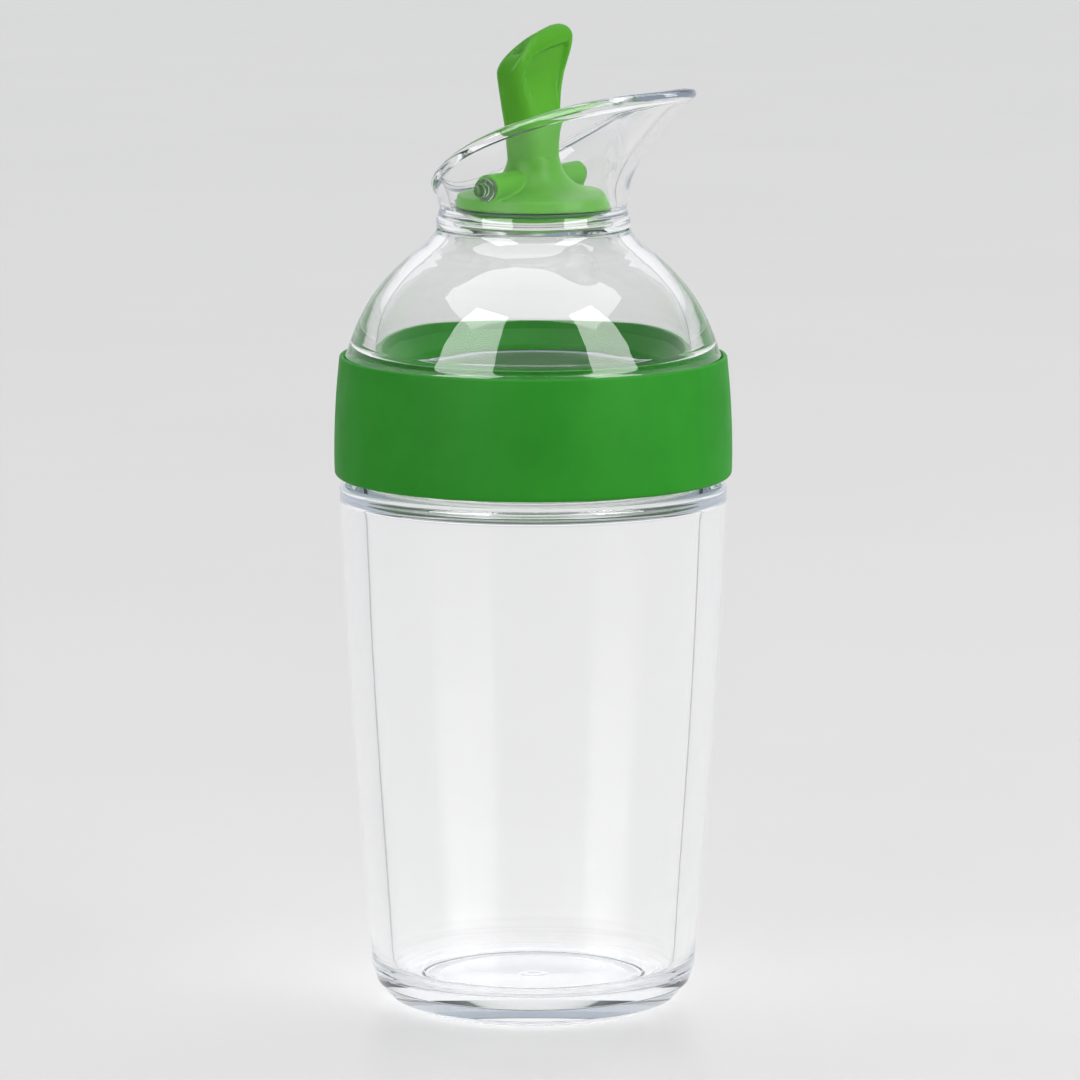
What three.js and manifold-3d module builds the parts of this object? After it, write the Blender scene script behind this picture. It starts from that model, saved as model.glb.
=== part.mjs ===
// Salad dressing shaker: a clear tumbler with a threaded neck, a screw-on lid with a soft band,
// a clear dome with a pouring lip, and a lever that swings a round stopper open.
// Millimetres, +Z up, the origin on the table under the middle of the tumbler.
// +X is the pouring side, and the lever's pins lie along Y.
import * as THREE from 'three';
import { mergeVertices } from 'three/addons/utils/BufferGeometryUtils.js';
import Module from 'manifold-3d';

const wasm = await Module();
wasm.setup();

// Fits
const SEAT_GAP = 0.3; // between pieces that touch
const PIN_CLEARANCE = 0.15; // pin in its bore
const THREAD_CLEARANCE = 0.5; // crest to root, in radius
const CUT_OVERRUN = 1; // how far a cutter or a joined root runs past the surface

// Tumbler
const BODY_BASE_RADIUS = 35.3; // above the rounded base corner
const BODY_TOP_RADIUS = 41.95;
const BODY_HEIGHT = 114.5; // table to the shoulder's top
const BODY_WALL_TOP = 5.6;
const BODY_WALL_BASE = 4.4;
const BASE_CORNER = 10.6;
const FLOOR_THICKNESS = 7.8;
const FLOOR_FILLET = 4.5;
const FOOT_RING_WIDTH = 1.5; // the flat ring that stands on the table
const FOOT_RECESS_DEPTH = 0.6;
const SHOULDER_EDGE = 1.6;
const SHOULDER_THICKNESS = 2.3;
const SHOULDER_FILLET = 2;
const BODY_BOW_SHARES = [[0, 0], [0.16, 0.18], [0.45, 0.53], [0.69, 0.77], [1, 1]]; // height, growth

// Tumbler neck and its thread
const SHOULDER_WIDTH = 9.95; // from the tumbler's top edge in to the neck
const NECK_WALL = 3.7;
const NECK_HEIGHT = 19.2;
const NECK_RIM_EDGE = 1.1;
const THREAD_STARTS = 2;
const THREAD_LEAD = 8; // rise in one turn
const THREAD_TURN_SHARE = 0.575; // of a turn, for each ridge
const THREAD_DEPTH = 1.4;
const THREAD_ROOT_WIDTH = 2.3;
const THREAD_CREST_WIDTH = 1.2;
const THREAD_RISE = 10; // shoulder to the middle of the lowest ridge

// Lid: gasket, threaded ring and soft band
const GASKET_THICKNESS = 1.2;
const GASKET_OVERHANG = 1.6; // past the neck's wall on its outer side
const GASKET_INSET = 2.7; // from the neck's bore out to the gasket
const WEB_THICKNESS = 6.3; // from the gasket up to the dome's foot
const WEB_OVERHANG = 1.3; // from the neck's bore out to the web
const WEB_ROOF = 1.8; // over the channel between the two sleeves
const FUNNEL_DROP = 2; // from the web's top to the funnel's upper edge
const SLEEVE_WALL = 2.4;
const OUTER_SLEEVE_WALL = 1.8;
const UPSTAND_WALL = 1.1; // the ring that stands inside the dome's foot
const UPSTAND_HEIGHT = 0.9;
const BAND_OVERHANG = 1.05; // past the tumbler's top
const BAND_TAPER = 1.2;
const BAND_FOOT_GAP = 1.6; // above the tumbler's shoulder
const BAND_LIP_THICKNESS = 1.3;
const BAND_LIP_DEPTH = 2.4;
const BAND_EDGE = 0.9;
const BAND_TOP_LIP = 0.9; // the band's width at its top edge

// Dome
const DOME_FOOT_WALL = 6;
const DOME_HEIGHT = 27.4;
const DOME_WALL = 2.9;
const DOME_NECK_RADIUS = 20.9;
const DOME_CURVE_SHARES = [
  [1, 0], [0.985, 0.03], [0.954, 0.088], [0.909, 0.175], [0.853, 0.27], [0.782, 0.369],
  [0.668, 0.495], [0.528, 0.617], [0.371, 0.73], [0.203, 0.8285], [0.066, 0.92], [0, 1],
]; // radius, height
const DOME_WALL_SHARES = [2, 1]; // wall over the foot and at the neck

// Pouring spout
const SPOUT_FLANGE_HEIGHT = 4;
const SPOUT_WALL = 2.3; // at the seat
const SPOUT_EDGE_WALL = 2; // just under the rolled rim
const RIM_BEAD_RADIUS = 1.45;
const SEAT_RADIUS = 18.5; // of the round seat about the pivot
const SEAT_DROP = 7.7; // pivot to the seat's lower edge
const SEAT_RISE = 3.1; // height of the round seat
const SEAT_LIP = 1.7; // the seat's lower lip, down to the flange's foot
const RIM_BACK_RADIUS = 21.94;
const LIP_REACH = 18.6; // how much farther the lip reaches than the back
const RIM_AXIS_RISE = 11; // pivot to the rim, measured at the axis
const RIM_SLOPE_SHARE = 0.468;
const RIM_CURVE = 213; // the rim's sag is the square of its reach over this
const FOOT_HANDLE_SHARE = 0.224; // how straight the wall leaves its foot, of its rise
const LIP_HANDLE_SHARE = 0.584; // how long it runs out straight at the lip, of its rise
const LIP_LEAN_DEGREES = 49;

// Lever and stopper
const LEVER_HEIGHT = 32.3; // pivot to the paddle's top, at the middle
const DISC_RADIUS = 16.9; // at its underside
const DISC_TOP_SHARE = 0.96;
const DISC_DROP = 4.8; // pivot to the disc's underside
const DISC_EDGE = 0.4;
const DISC_RIM_HEIGHT = 2.4;
const STEM_DEPTH = 9.6; // along X
const PADDLE_WIDTH = 21.8; // along Y
const PADDLE_SIDE_SLOPE_SHARE = 0.281; // rise of the top to the right
const PADDLE_TOP_CURVE = 61; // the top's sag is the square of the way out over this
const PADDLE_FRONT_SLOPE_SHARE = 0.15;
const PADDLE_CORNER = 3.8;
const PADDLE_BORDER = 2.5;
const RECESS_DEPTH = 0.9;
const BOSS_RADIUS = 3.2;
const BOSS_LENGTH = 15.1; // from the middle
const PIN_RADIUS = 2.2;
const PIN_REACH = 4.3; // into the boss
const PIN_FLANGE_RADIUS = 2.9;
const PIN_FLANGE_THICKNESS = 0.9;
const STOPPER_GASKET_RADIUS = 17;
const STOPPER_GASKET_THICKNESS = 1.1;
const PLUG_RADIUS = 15.4;
const PLUG_THICKNESS = 1.4;
const PLUG_HUB_RADIUS = 6;
const PLUG_POST_RADIUS = 2.5;
const PLUG_POST_HEIGHT = 4;

// Facets
const ROUND = 40; // sides of the large round pieces
const SMALL_ROUND = 20; // sides of pins and bosses

// Heights that follow from the stack
const SHOULDER_TOP = BODY_HEIGHT;
const NECK_RADIUS = BODY_TOP_RADIUS - SHOULDER_WIDTH; // outside, at the thread's root
const RIM_TOP = BODY_HEIGHT + NECK_HEIGHT;
const GASKET_BOTTOM = RIM_TOP + SEAT_GAP;
const WEB_BOTTOM = GASKET_BOTTOM + GASKET_THICKNESS + SEAT_GAP;
const WEB_TOP = WEB_BOTTOM + WEB_THICKNESS;
const DOME_BOTTOM = WEB_TOP + SEAT_GAP;
const DOME_TOP = DOME_BOTTOM + DOME_HEIGHT;
const FLANGE_BOTTOM = DOME_TOP + SEAT_GAP;
const PIVOT = FLANGE_BOTTOM + SEAT_LIP + SEAT_DROP;
const BAND_RADIUS = BODY_TOP_RADIUS + BAND_OVERHANG;
const BAND_TOP_RADIUS = BAND_RADIUS - BAND_TAPER;
const BAND_BOTTOM = SHOULDER_TOP + BAND_FOOT_GAP;
const DOME_RADIUS = BAND_TOP_RADIUS - BAND_TOP_LIP - SEAT_GAP;
const DOME_FOOT_INNER = DOME_RADIUS - DOME_FOOT_WALL;
const OUTER_SLEEVE_RADIUS = DOME_RADIUS - SEAT_GAP / 2;
const THREAD_ROOT_RADIUS = NECK_RADIUS + THREAD_DEPTH + THREAD_CLEARANCE;
const NECK_BORE = NECK_RADIUS - NECK_WALL;

// Solids and meshes
function solidOf(geometry) {
  const bare = geometry.clone();
  bare.deleteAttribute('normal');
  bare.deleteAttribute('uv');
  const merged = mergeVertices(bare);
  const index = merged.getIndex().array;
  const triangles = [];
  for (let i = 0; i < index.length; i += 3) {
    const [a, b, c] = [index[i], index[i + 1], index[i + 2]];
    if (a !== b && b !== c && a !== c) triangles.push(a, b, c);
  }
  return new wasm.Manifold(new wasm.Mesh({
    numProp: 3,
    vertProperties: Float32Array.from(merged.getAttribute('position').array),
    triVerts: Uint32Array.from(triangles),
  }));
}

function pieceOf(name, solid, { color, roughness, metalness = 0, opacity = 1 }) {
  const mesh = solid.getMesh();
  const geometry = new THREE.BufferGeometry();
  const count = mesh.numProp;
  const positions = new Float32Array((mesh.vertProperties.length / count) * 3);
  for (let i = 0; i < positions.length / 3; i += 1) {
    for (let k = 0; k < 3; k += 1) positions[i * 3 + k] = mesh.vertProperties[i * count + k];
  }
  geometry.setAttribute('position', new THREE.BufferAttribute(positions, 3));
  geometry.setIndex(new THREE.BufferAttribute(Uint32Array.from(mesh.triVerts), 1));
  geometry.computeVertexNormals();
  const material = new THREE.MeshStandardMaterial({
    color, roughness, metalness, opacity, transparent: opacity < 1,
  });
  const piece = new THREE.Mesh(geometry, material);
  piece.name = name;
  return piece;
}

// Turns a profile of [radius, height] points, which runs up its outer side, about Z
function turned(profile, sides = ROUND) {
  const onAxis = profile[0][0] === 0 && profile[profile.length - 1][0] === 0;
  const loop = onAxis ? profile : [...profile, profile[0]];
  const points = loop.map(([radius, height]) => new THREE.Vector2(radius, height));
  return solidOf(new THREE.LatheGeometry(points, sides).rotateX(Math.PI / 2));
}

// A round bar along Y, from one Y to another, in the plane of the pivot
function barAlongY(radius, from, to, sides = SMALL_ROUND) {
  const bar = new THREE.CylinderGeometry(radius, radius, to - from, sides);
  return solidOf(bar.translate(0, (from + to) / 2, PIVOT));
}

// Joins rings of points into one closed skin. Rings run round +Z seen from above, and either
// the rings close on each other or the first and last are capped.
function skinOf(rings, closed) {
  const width = rings[0].length;
  const positions = rings.flat(2);
  const index = [];
  const last = closed ? rings.length : rings.length - 1;
  for (let i = 0; i < last; i += 1) {
    const here = i * width;
    const next = ((i + 1) % rings.length) * width;
    for (let j = 0; j < width; j += 1) {
      const k = (j + 1) % width;
      index.push(here + j, here + k, next + j, here + k, next + k, next + j);
    }
  }
  if (!closed) {
    const end = (rings.length - 1) * width;
    for (let j = 1; j < width - 1; j += 1) {
      index.push(0, j + 1, j, end, end + j, end + j + 1);
    }
  }
  const geometry = new THREE.BufferGeometry();
  geometry.setAttribute('position', new THREE.BufferAttribute(Float32Array.from(positions), 3));
  geometry.setIndex(index);
  return solidOf(geometry);
}

// A quarter or other arc of [radius, height] points about a centre, angles in degrees
function arc(radius, height, size, from, to, steps) {
  return Array.from({ length: steps + 1 }, (_, i) => {
    const angle = THREE.MathUtils.degToRad(from + ((to - from) * i) / steps);
    return [radius + size * Math.cos(angle), height + size * Math.sin(angle)];
  });
}

// One helical ridge. Its root lies inside the wall that carries it, and its ends run out.
function ridge(rootRadius, crestRadius, startAngle, startHeight) {
  const inward = Math.sign(crestRadius - rootRadius);
  const steps = Math.round(ROUND * THREAD_TURN_SHARE);
  const buried = rootRadius - inward * CUT_OVERRUN;
  const rings = [];
  for (let i = 0; i <= steps; i += 1) {
    const turn = (i / steps) * THREAD_TURN_SHARE;
    const angle = startAngle + turn * 2 * Math.PI;
    const height = startHeight + turn * THREAD_LEAD;
    const full = i > 0 && i < steps;
    const crest = full ? crestRadius : rootRadius - (inward * CUT_OVERRUN) / 2;
    const section = [
      [buried, -THREAD_ROOT_WIDTH / 2], [crest, -THREAD_CREST_WIDTH / 2],
      [crest, THREAD_CREST_WIDTH / 2], [buried, THREAD_ROOT_WIDTH / 2],
    ];
    const ring = section.map(([radius, rise]) => [
      radius * Math.cos(angle), radius * Math.sin(angle), height + rise,
    ]);
    rings.push(inward > 0 ? ring.reverse() : ring);
  }
  return skinOf(rings, false);
}

function withThread(solid, rootRadius, crestRadius, height) {
  let threaded = solid;
  for (let i = 0; i < THREAD_STARTS; i += 1) {
    const angle = (i / THREAD_STARTS) * 2 * Math.PI;
    threaded = threaded.add(ridge(rootRadius, crestRadius, angle, height));
  }
  return threaded;
}

// Tumbler
function containerSolid() {
  const outerHeight = BODY_HEIGHT - SHOULDER_EDGE - BASE_CORNER;
  const outer = BODY_BOW_SHARES.map(([rise, growth]) => [
    BODY_BASE_RADIUS + (BODY_TOP_RADIUS - BODY_BASE_RADIUS) * growth,
    BASE_CORNER + outerHeight * rise,
  ]);
  const footRadius = BODY_BASE_RADIUS - BASE_CORNER;
  const recessRadius = footRadius - FOOT_RING_WIDTH;
  const innerBottom = FLOOR_THICKNESS + FLOOR_FILLET;
  const innerTop = BODY_HEIGHT - SHOULDER_THICKNESS - SHOULDER_FILLET;
  const inner = BODY_BOW_SHARES.map(([rise, growth]) => {
    const wall = BODY_WALL_BASE + (BODY_WALL_TOP - BODY_WALL_BASE) * growth;
    const radius = BODY_BASE_RADIUS + (BODY_TOP_RADIUS - BODY_BASE_RADIUS) * growth - wall;
    return [radius, innerBottom + (innerTop - innerBottom) * rise];
  });
  const floorRadius = inner[0][0];
  const topInner = inner[inner.length - 1][0];
  return withThread(turned([
    [0, FOOT_RECESS_DEPTH],
    [recessRadius - FOOT_RECESS_DEPTH, FOOT_RECESS_DEPTH],
    [recessRadius, 0],
    [footRadius, 0],
    ...arc(footRadius, BASE_CORNER, BASE_CORNER, -70, -15, 3),
    ...outer,
    ...arc(BODY_TOP_RADIUS - SHOULDER_EDGE, SHOULDER_TOP - SHOULDER_EDGE, SHOULDER_EDGE, 45, 90, 1),
    [NECK_RADIUS, SHOULDER_TOP],
    ...arc(NECK_RADIUS - NECK_RIM_EDGE, RIM_TOP - NECK_RIM_EDGE, NECK_RIM_EDGE, 0, 90, 2),
    ...arc(NECK_BORE + NECK_RIM_EDGE, RIM_TOP - NECK_RIM_EDGE, NECK_RIM_EDGE, 90, 180, 2),
    ...arc(NECK_BORE + NECK_RIM_EDGE, BODY_HEIGHT - SHOULDER_THICKNESS + NECK_RIM_EDGE,
      NECK_RIM_EDGE, 180, 270, 1),
    ...arc(topInner - SHOULDER_FILLET, innerTop, SHOULDER_FILLET, 90, 30, 2),
    ...inner.reverse(),
    ...arc(floorRadius - FLOOR_FILLET, innerBottom, FLOOR_FILLET, -30, -90, 2),
    [0, FLOOR_THICKNESS],
  ]), NECK_RADIUS, NECK_RADIUS + THREAD_DEPTH, SHOULDER_TOP + THREAD_RISE);
}

// Soft ring that seals the lid on the tumbler's rim
function lidGasketSolid() {
  const inner = NECK_BORE + GASKET_INSET;
  const outer = NECK_RADIUS + GASKET_OVERHANG;
  const top = GASKET_BOTTOM + GASKET_THICKNESS;
  return turned([[inner, GASKET_BOTTOM], [outer, GASKET_BOTTOM], [outer, top], [inner, top]]);
}

// Hard ring of the lid: inner sleeve with the thread, a web whose inner side is a funnel,
// outer sleeve under the band, and an upstand that centres the dome
function threadRingSolid() {
  const sleeveOuter = THREAD_ROOT_RADIUS + SLEEVE_WALL;
  const sleeveBottom = BAND_BOTTOM + BAND_LIP_THICKNESS + SEAT_GAP;
  const outerInner = OUTER_SLEEVE_RADIUS - OUTER_SLEEVE_WALL;
  const upstandOuter = DOME_FOOT_INNER - SEAT_GAP;
  const upstandInner = upstandOuter - UPSTAND_WALL;
  const webInner = NECK_BORE + WEB_OVERHANG;
  const gasketPocket = NECK_RADIUS + GASKET_OVERHANG + SEAT_GAP;
  const ring = turned([
    [THREAD_ROOT_RADIUS, sleeveBottom],
    [sleeveOuter, sleeveBottom],
    [sleeveOuter, WEB_TOP - WEB_ROOF],
    [outerInner, WEB_TOP - WEB_ROOF],
    [outerInner, sleeveBottom],
    [OUTER_SLEEVE_RADIUS, sleeveBottom],
    [OUTER_SLEEVE_RADIUS, WEB_TOP],
    [upstandOuter, WEB_TOP],
    [upstandOuter, WEB_TOP + UPSTAND_HEIGHT],
    [upstandInner, WEB_TOP + UPSTAND_HEIGHT],
    [upstandInner, WEB_TOP - FUNNEL_DROP],
    [webInner, WEB_BOTTOM + SEAT_GAP],
    [webInner, WEB_BOTTOM],
    [gasketPocket, WEB_BOTTOM],
    [gasketPocket, WEB_BOTTOM - GASKET_THICKNESS],
    [THREAD_ROOT_RADIUS, WEB_BOTTOM - GASKET_THICKNESS - SEAT_GAP],
  ]);
  const spacing = THREAD_LEAD / THREAD_STARTS;
  const crest = NECK_RADIUS + THREAD_CLEARANCE;
  return withThread(ring, THREAD_ROOT_RADIUS, crest, SHOULDER_TOP + THREAD_RISE - spacing / 2);
}

// Soft band around the lid, turned in at its foot and at its top
function bandSolid() {
  const inner = OUTER_SLEEVE_RADIUS + SEAT_GAP;
  const lipInner = inner - BAND_LIP_DEPTH;
  const topInner = DOME_RADIUS + SEAT_GAP;
  return turned([
    [lipInner, BAND_BOTTOM],
    ...arc(BAND_RADIUS - BAND_EDGE, BAND_BOTTOM + BAND_EDGE, BAND_EDGE, -90, 0, 2),
    [BAND_RADIUS, BAND_BOTTOM + BAND_EDGE * 5],
    ...arc(BAND_TOP_RADIUS - BAND_EDGE / 2, DOME_BOTTOM - BAND_EDGE / 2, BAND_EDGE / 2, 0, 90, 2),
    [topInner, DOME_BOTTOM],
    [topInner, WEB_TOP],
    [inner, WEB_TOP - SEAT_GAP],
    [inner, BAND_BOTTOM + BAND_LIP_THICKNESS],
    [lipInner, BAND_BOTTOM + BAND_LIP_THICKNESS],
  ]);
}

// The dome's outer side from its foot to its neck
function domeOuter() {
  return DOME_CURVE_SHARES.map(([out, up]) => [
    DOME_NECK_RADIUS + (DOME_RADIUS - DOME_NECK_RADIUS) * out,
    DOME_BOTTOM + DOME_HEIGHT * up,
  ]);
}

// Moves each point of a profile inward, square to it, by a wall that may change with height
function offsetInward(profile, wallAt) {
  const [, bottom] = profile[0];
  const [, top] = profile[profile.length - 1];
  return profile.map(([radius, height], i) => {
    const before = profile[Math.max(i - 1, 0)];
    const after = profile[Math.min(i + 1, profile.length - 1)];
    const along = new THREE.Vector2(after[0] - before[0], after[1] - before[1]).normalize();
    const wall = wallAt((height - bottom) / (top - bottom));
    return [radius - along.y * wall, height + along.x * wall];
  });
}

function domeSolid() {
  const outer = domeOuter();
  const [footShare, neckShare] = DOME_WALL_SHARES;
  const wallAt = (share) => DOME_WALL * (neckShare + (footShare - neckShare) * (1 - share) ** 2);
  const inner = offsetInward(outer, wallAt).filter(([radius]) => radius < DOME_FOOT_INNER);
  const upper = inner.slice(0, -1);
  const neckInner = DOME_NECK_RADIUS - DOME_WALL;
  return turned([
    [DOME_FOOT_INNER, DOME_BOTTOM],
    ...outer,
    [neckInner, DOME_TOP],
    ...upper.reverse(),
    [DOME_FOOT_INNER, upper[upper.length - 1][1] - DOME_WALL / 2],
  ]);
}

// The outer edge of the pouring rim, seen from above and from the side
function rimRadius(angle) {
  return RIM_BACK_RADIUS + LIP_REACH * Math.max(0, Math.cos(angle)) ** 8;
}

function rimHeight(reach) {
  return PIVOT + RIM_AXIS_RISE + reach * RIM_SLOPE_SHARE - reach ** 2 / RIM_CURVE;
}

// One upright section of the spout, as [radius, height] points that run up its outer side
function spoutSection(angle) {
  const bead = [rimRadius(angle) - RIM_BEAD_RADIUS,
    rimHeight(rimRadius(angle) * Math.cos(angle)) - RIM_BEAD_RADIUS];
  const seatTop = SEAT_DROP - SEAT_RISE;
  const lift = Math.asin(-seatTop / SEAT_RADIUS);
  const out = new THREE.Vector2(Math.cos(lift), Math.sin(lift));
  const foot = out.clone().multiplyScalar(SEAT_RADIUS + SPOUT_WALL / 2)
    .add(new THREE.Vector2(0, PIVOT));
  const end = new THREE.Vector2(...bead);
  const rise = end.y - foot.y;
  const lean = THREE.MathUtils.degToRad(LIP_LEAN_DEGREES);
  const bend = foot.clone()
    .add(new THREE.Vector2(-out.y, out.x).multiplyScalar(rise * FOOT_HANDLE_SHARE));
  const run = rise * LIP_HANDLE_SHARE * Math.sqrt((end.x - foot.x) / LIP_REACH);
  const hook = end.clone().sub(new THREE.Vector2(Math.sin(lean), Math.cos(lean)).multiplyScalar(run));
  const curve = new THREE.CubicBezierCurve(foot, bend, hook, end);
  const outerSide = [];
  const innerSide = [];
  const steps = 5;
  for (let i = 0; i <= steps; i += 1) {
    const share = i / steps;
    const at = curve.getPoint(share * 0.96);
    const way = curve.getTangent(share * 0.96);
    const half = (SPOUT_WALL + (SPOUT_EDGE_WALL - SPOUT_WALL) * share) / 2;
    outerSide.push([at.x + way.y * half, at.y - way.x * half]);
    innerSide.push([at.x - way.y * half, at.y + way.x * half]);
  }
  const way = curve.getTangent(1);
  const heading = THREE.MathUtils.radToDeg(Math.atan2(way.y, way.x));
  const seat = [];
  const seatSteps = 3;
  for (let i = 1; i <= seatSteps; i += 1) {
    const drop = seatTop + (SEAT_RISE * i) / seatSteps;
    seat.push([Math.sqrt(SEAT_RADIUS ** 2 - drop ** 2), PIVOT - drop]);
  }
  const lipTop = seat[seat.length - 1][0];
  const flangeRadius = DOME_NECK_RADIUS;
  const flangeTop = FLANGE_BOTTOM + SPOUT_FLANGE_HEIGHT;
  return [
    [flangeRadius, FLANGE_BOTTOM],
    [flangeRadius, flangeTop],
    [outerSide[0][0] + SEAT_GAP / 2, flangeTop + SEAT_GAP],
    ...outerSide,
    ...arc(bead[0], bead[1], RIM_BEAD_RADIUS, heading - 100, heading + 100, 6),
    ...innerSide.reverse(),
    ...seat,
    [lipTop + SEAT_LIP / 5, PIVOT - SEAT_DROP - SEAT_LIP / 2],
    [DOME_NECK_RADIUS - DOME_WALL, FLANGE_BOTTOM],
  ];
}

function spoutSolid() {
  const rings = [];
  for (let i = 0; i < ROUND; i += 1) {
    const angle = (i / ROUND) * 2 * Math.PI;
    const ring = spoutSection(angle).map(([radius, height]) => [
      radius * Math.cos(angle), radius * Math.sin(angle), height,
    ]);
    rings.push(ring.reverse());
  }
  return skinOf(rings, true);
}

// Clear pin that stands on the spout's wall and carries one boss. Side is -1 or 1 along Y.
function pinSolid(side) {
  const tip = BOSS_LENGTH - PIN_REACH;
  const wall = SEAT_RADIUS;
  const flange = wall - SEAT_GAP - PIN_FLANGE_THICKNESS;
  const shaft = side > 0 ? barAlongY(PIN_RADIUS, tip, wall) : barAlongY(PIN_RADIUS, -wall, -tip);
  const foot = side > 0 ? barAlongY(PIN_FLANGE_RADIUS, flange, wall)
    : barAlongY(PIN_FLANGE_RADIUS, -wall, -flange);
  const inside = solidOf(new THREE.SphereGeometry(wall - SEAT_GAP, ROUND, ROUND)
    .rotateX(Math.PI / 2).translate(0, 0, PIVOT));
  return shaft.add(foot).intersect(inside);
}

// The stem and paddle, whose rounded sections slant more and more towards the curved top
const LEVER_SHARES = [
  [0.06, 1, 0.49, 0.49, 0, 0], [0.16, 0.98, 0.5, 0.5, 0, 0], [0.3, 0.96, 0.52, 0.52, 0, 0],
  [0.42, 0.91, 0.58, 0.6, 0.12, 0.1], [0.54, 0.83, 0.64, 0.69, 0.35, 0.4],
  [0.665, 0.76, 0.71, 0.82, 0.6, 0.8], [0.783, 0.7, 0.79, 0.92, 0.85, 1], [0.882, 0.655, 0.86, 1, 1, 1],
]; // height, depth, left and right half-width, slant, depth of the panel
const LEVER_TOP_SHARES = [[0.5, 0.134], [0.87, 0.5], [1, 0.9]]; // height in the corner, inset
const LEAN_SHARES = [
  [0, 0], [0.3, -0.03], [0.47, -0.06], [0.6, -0.09], [0.68, -0.1], [0.77, -0.07], [0.87, 0], [1, 0.05],
]; // height, way forward
const CORNER_SHARES = [0.44, 0.35]; // of the depth, at the disc and from the middle up

function between(table, at) {
  const next = table.findIndex(([place]) => place >= at);
  if (next < 0) return table[table.length - 1][1];
  if (next === 0) return table[0][1];
  const [from, low] = table[next - 1];
  const [to, high] = table[next];
  return low + ((high - low) * (at - from)) / (to - from);
}

// One section, with the shallow panel pressed into its pouring side
function leverSection(depth, left, right, height, slant, press) {
  const [lowCorner, highCorner] = CORNER_SHARES;
  const share = height / LEVER_HEIGHT;
  const corner = depth * Math.max(highCorner, lowCorner - share * (lowCorner - highCorner) * 2);
  const front = depth / 2;
  const panelLeft = Math.min(left - PADDLE_BORDER, (left - corner) * 0.9);
  const panelRight = Math.min(right - PADDLE_BORDER, (right - corner) * 0.9);
  const floor = front - RECESS_DEPTH * press;
  const outline = [
    [front, -panelLeft], [floor, -panelLeft * 0.88], [floor, panelRight * 0.88], [front, panelRight],
    ...arc(front - corner, right - corner, corner, 0, 90, 2),
    ...arc(corner - front, right - corner, corner, 90, 180, 2),
    ...arc(corner - front, corner - left, corner, 180, 270, 2),
    ...arc(front - corner, corner - left, corner, 270, 360, 2),
  ];
  return outline.map(([x, y]) => {
    const lift = x * PADDLE_FRONT_SLOPE_SHARE + y * PADDLE_SIDE_SLOPE_SHARE - y ** 2 / PADDLE_TOP_CURVE;
    const up = height + lift * slant;
    return [x + STEM_DEPTH * between(LEAN_SHARES, up / LEVER_HEIGHT), y, PIVOT + up];
  });
}

function leverStem() {
  const half = PADDLE_WIDTH / 2;
  const rings = LEVER_SHARES.map(([up, deep, left, right, slant, press]) => leverSection(
    STEM_DEPTH * deep, half * left, half * right, LEVER_HEIGHT * up, slant, press,
  ));
  const [shoulder, deep, left, right] = LEVER_SHARES[LEVER_SHARES.length - 1];
  for (const [up, inset] of LEVER_TOP_SHARES) {
    const base = LEVER_HEIGHT * shoulder;
    rings.push(leverSection(
      STEM_DEPTH * deep * (1 - inset * 0.9), half * left - PADDLE_CORNER * inset,
      half * right - PADDLE_CORNER * inset, base + (LEVER_HEIGHT - base) * up, 1, 0,
    ));
  }
  return skinOf(rings, false);
}

function leverSolid() {
  const under = PIVOT - DISC_DROP;
  const rimTop = under + DISC_RIM_HEIGHT;
  const coneShares = [[0.945, 0.03], [0.77, 0.09], [0.56, 0.305], [0.42, 0.51], [0.36, 0.736], [0.325, 1]];
  const coneHeight = DISC_DROP + STEM_DEPTH / 2;
  const disc = turned([
    [0, under],
    [DISC_RADIUS - DISC_EDGE, under],
    [DISC_RADIUS, under + DISC_EDGE],
    [DISC_RADIUS * DISC_TOP_SHARE, rimTop - DISC_EDGE],
    ...coneShares.map(([out, up]) => [DISC_RADIUS * out, rimTop + (coneHeight - DISC_RIM_HEIGHT) * up]),
    [0, under + coneHeight],
  ]);
  const post = PLUG_POST_RADIUS + SEAT_GAP;
  const socketTop = under + PLUG_POST_HEIGHT;
  const socket = turned([[0, under - CUT_OVERRUN], [post, under - CUT_OVERRUN],
    [post, socketTop], [0, socketTop]], SMALL_ROUND);
  const bore = PIN_RADIUS + PIN_CLEARANCE;
  const boreEnd = BOSS_LENGTH - PIN_REACH - SEAT_GAP;
  const relief = PIN_RADIUS + SEAT_GAP;
  let lever = disc.add(leverStem()).add(barAlongY(BOSS_RADIUS, -BOSS_LENGTH, BOSS_LENGTH));
  lever = lever.subtract(socket);
  for (const side of [-1, 1]) {
    const inner = [boreEnd * side, (DISC_RADIUS + CUT_OVERRUN) * side];
    const outer = [BOSS_LENGTH * side, (DISC_RADIUS + CUT_OVERRUN) * side];
    lever = lever.subtract(barAlongY(bore, Math.min(...inner), Math.max(...inner)));
    lever = lever.subtract(barAlongY(relief, Math.min(...outer), Math.max(...outer)));
  }
  return lever;
}

// Soft seal clamped under the lever's disc
function stopperGasketSolid() {
  const top = PIVOT - DISC_DROP - SEAT_GAP;
  const bottom = top - STOPPER_GASKET_THICKNESS;
  const inner = PLUG_HUB_RADIUS + SEAT_GAP;
  return turned([
    [inner, bottom],
    [STOPPER_GASKET_RADIUS - DISC_EDGE, bottom],
    [STOPPER_GASKET_RADIUS, (top + bottom) / 2],
    [STOPPER_GASKET_RADIUS - DISC_EDGE, top],
    [inner, top],
  ]);
}

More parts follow.
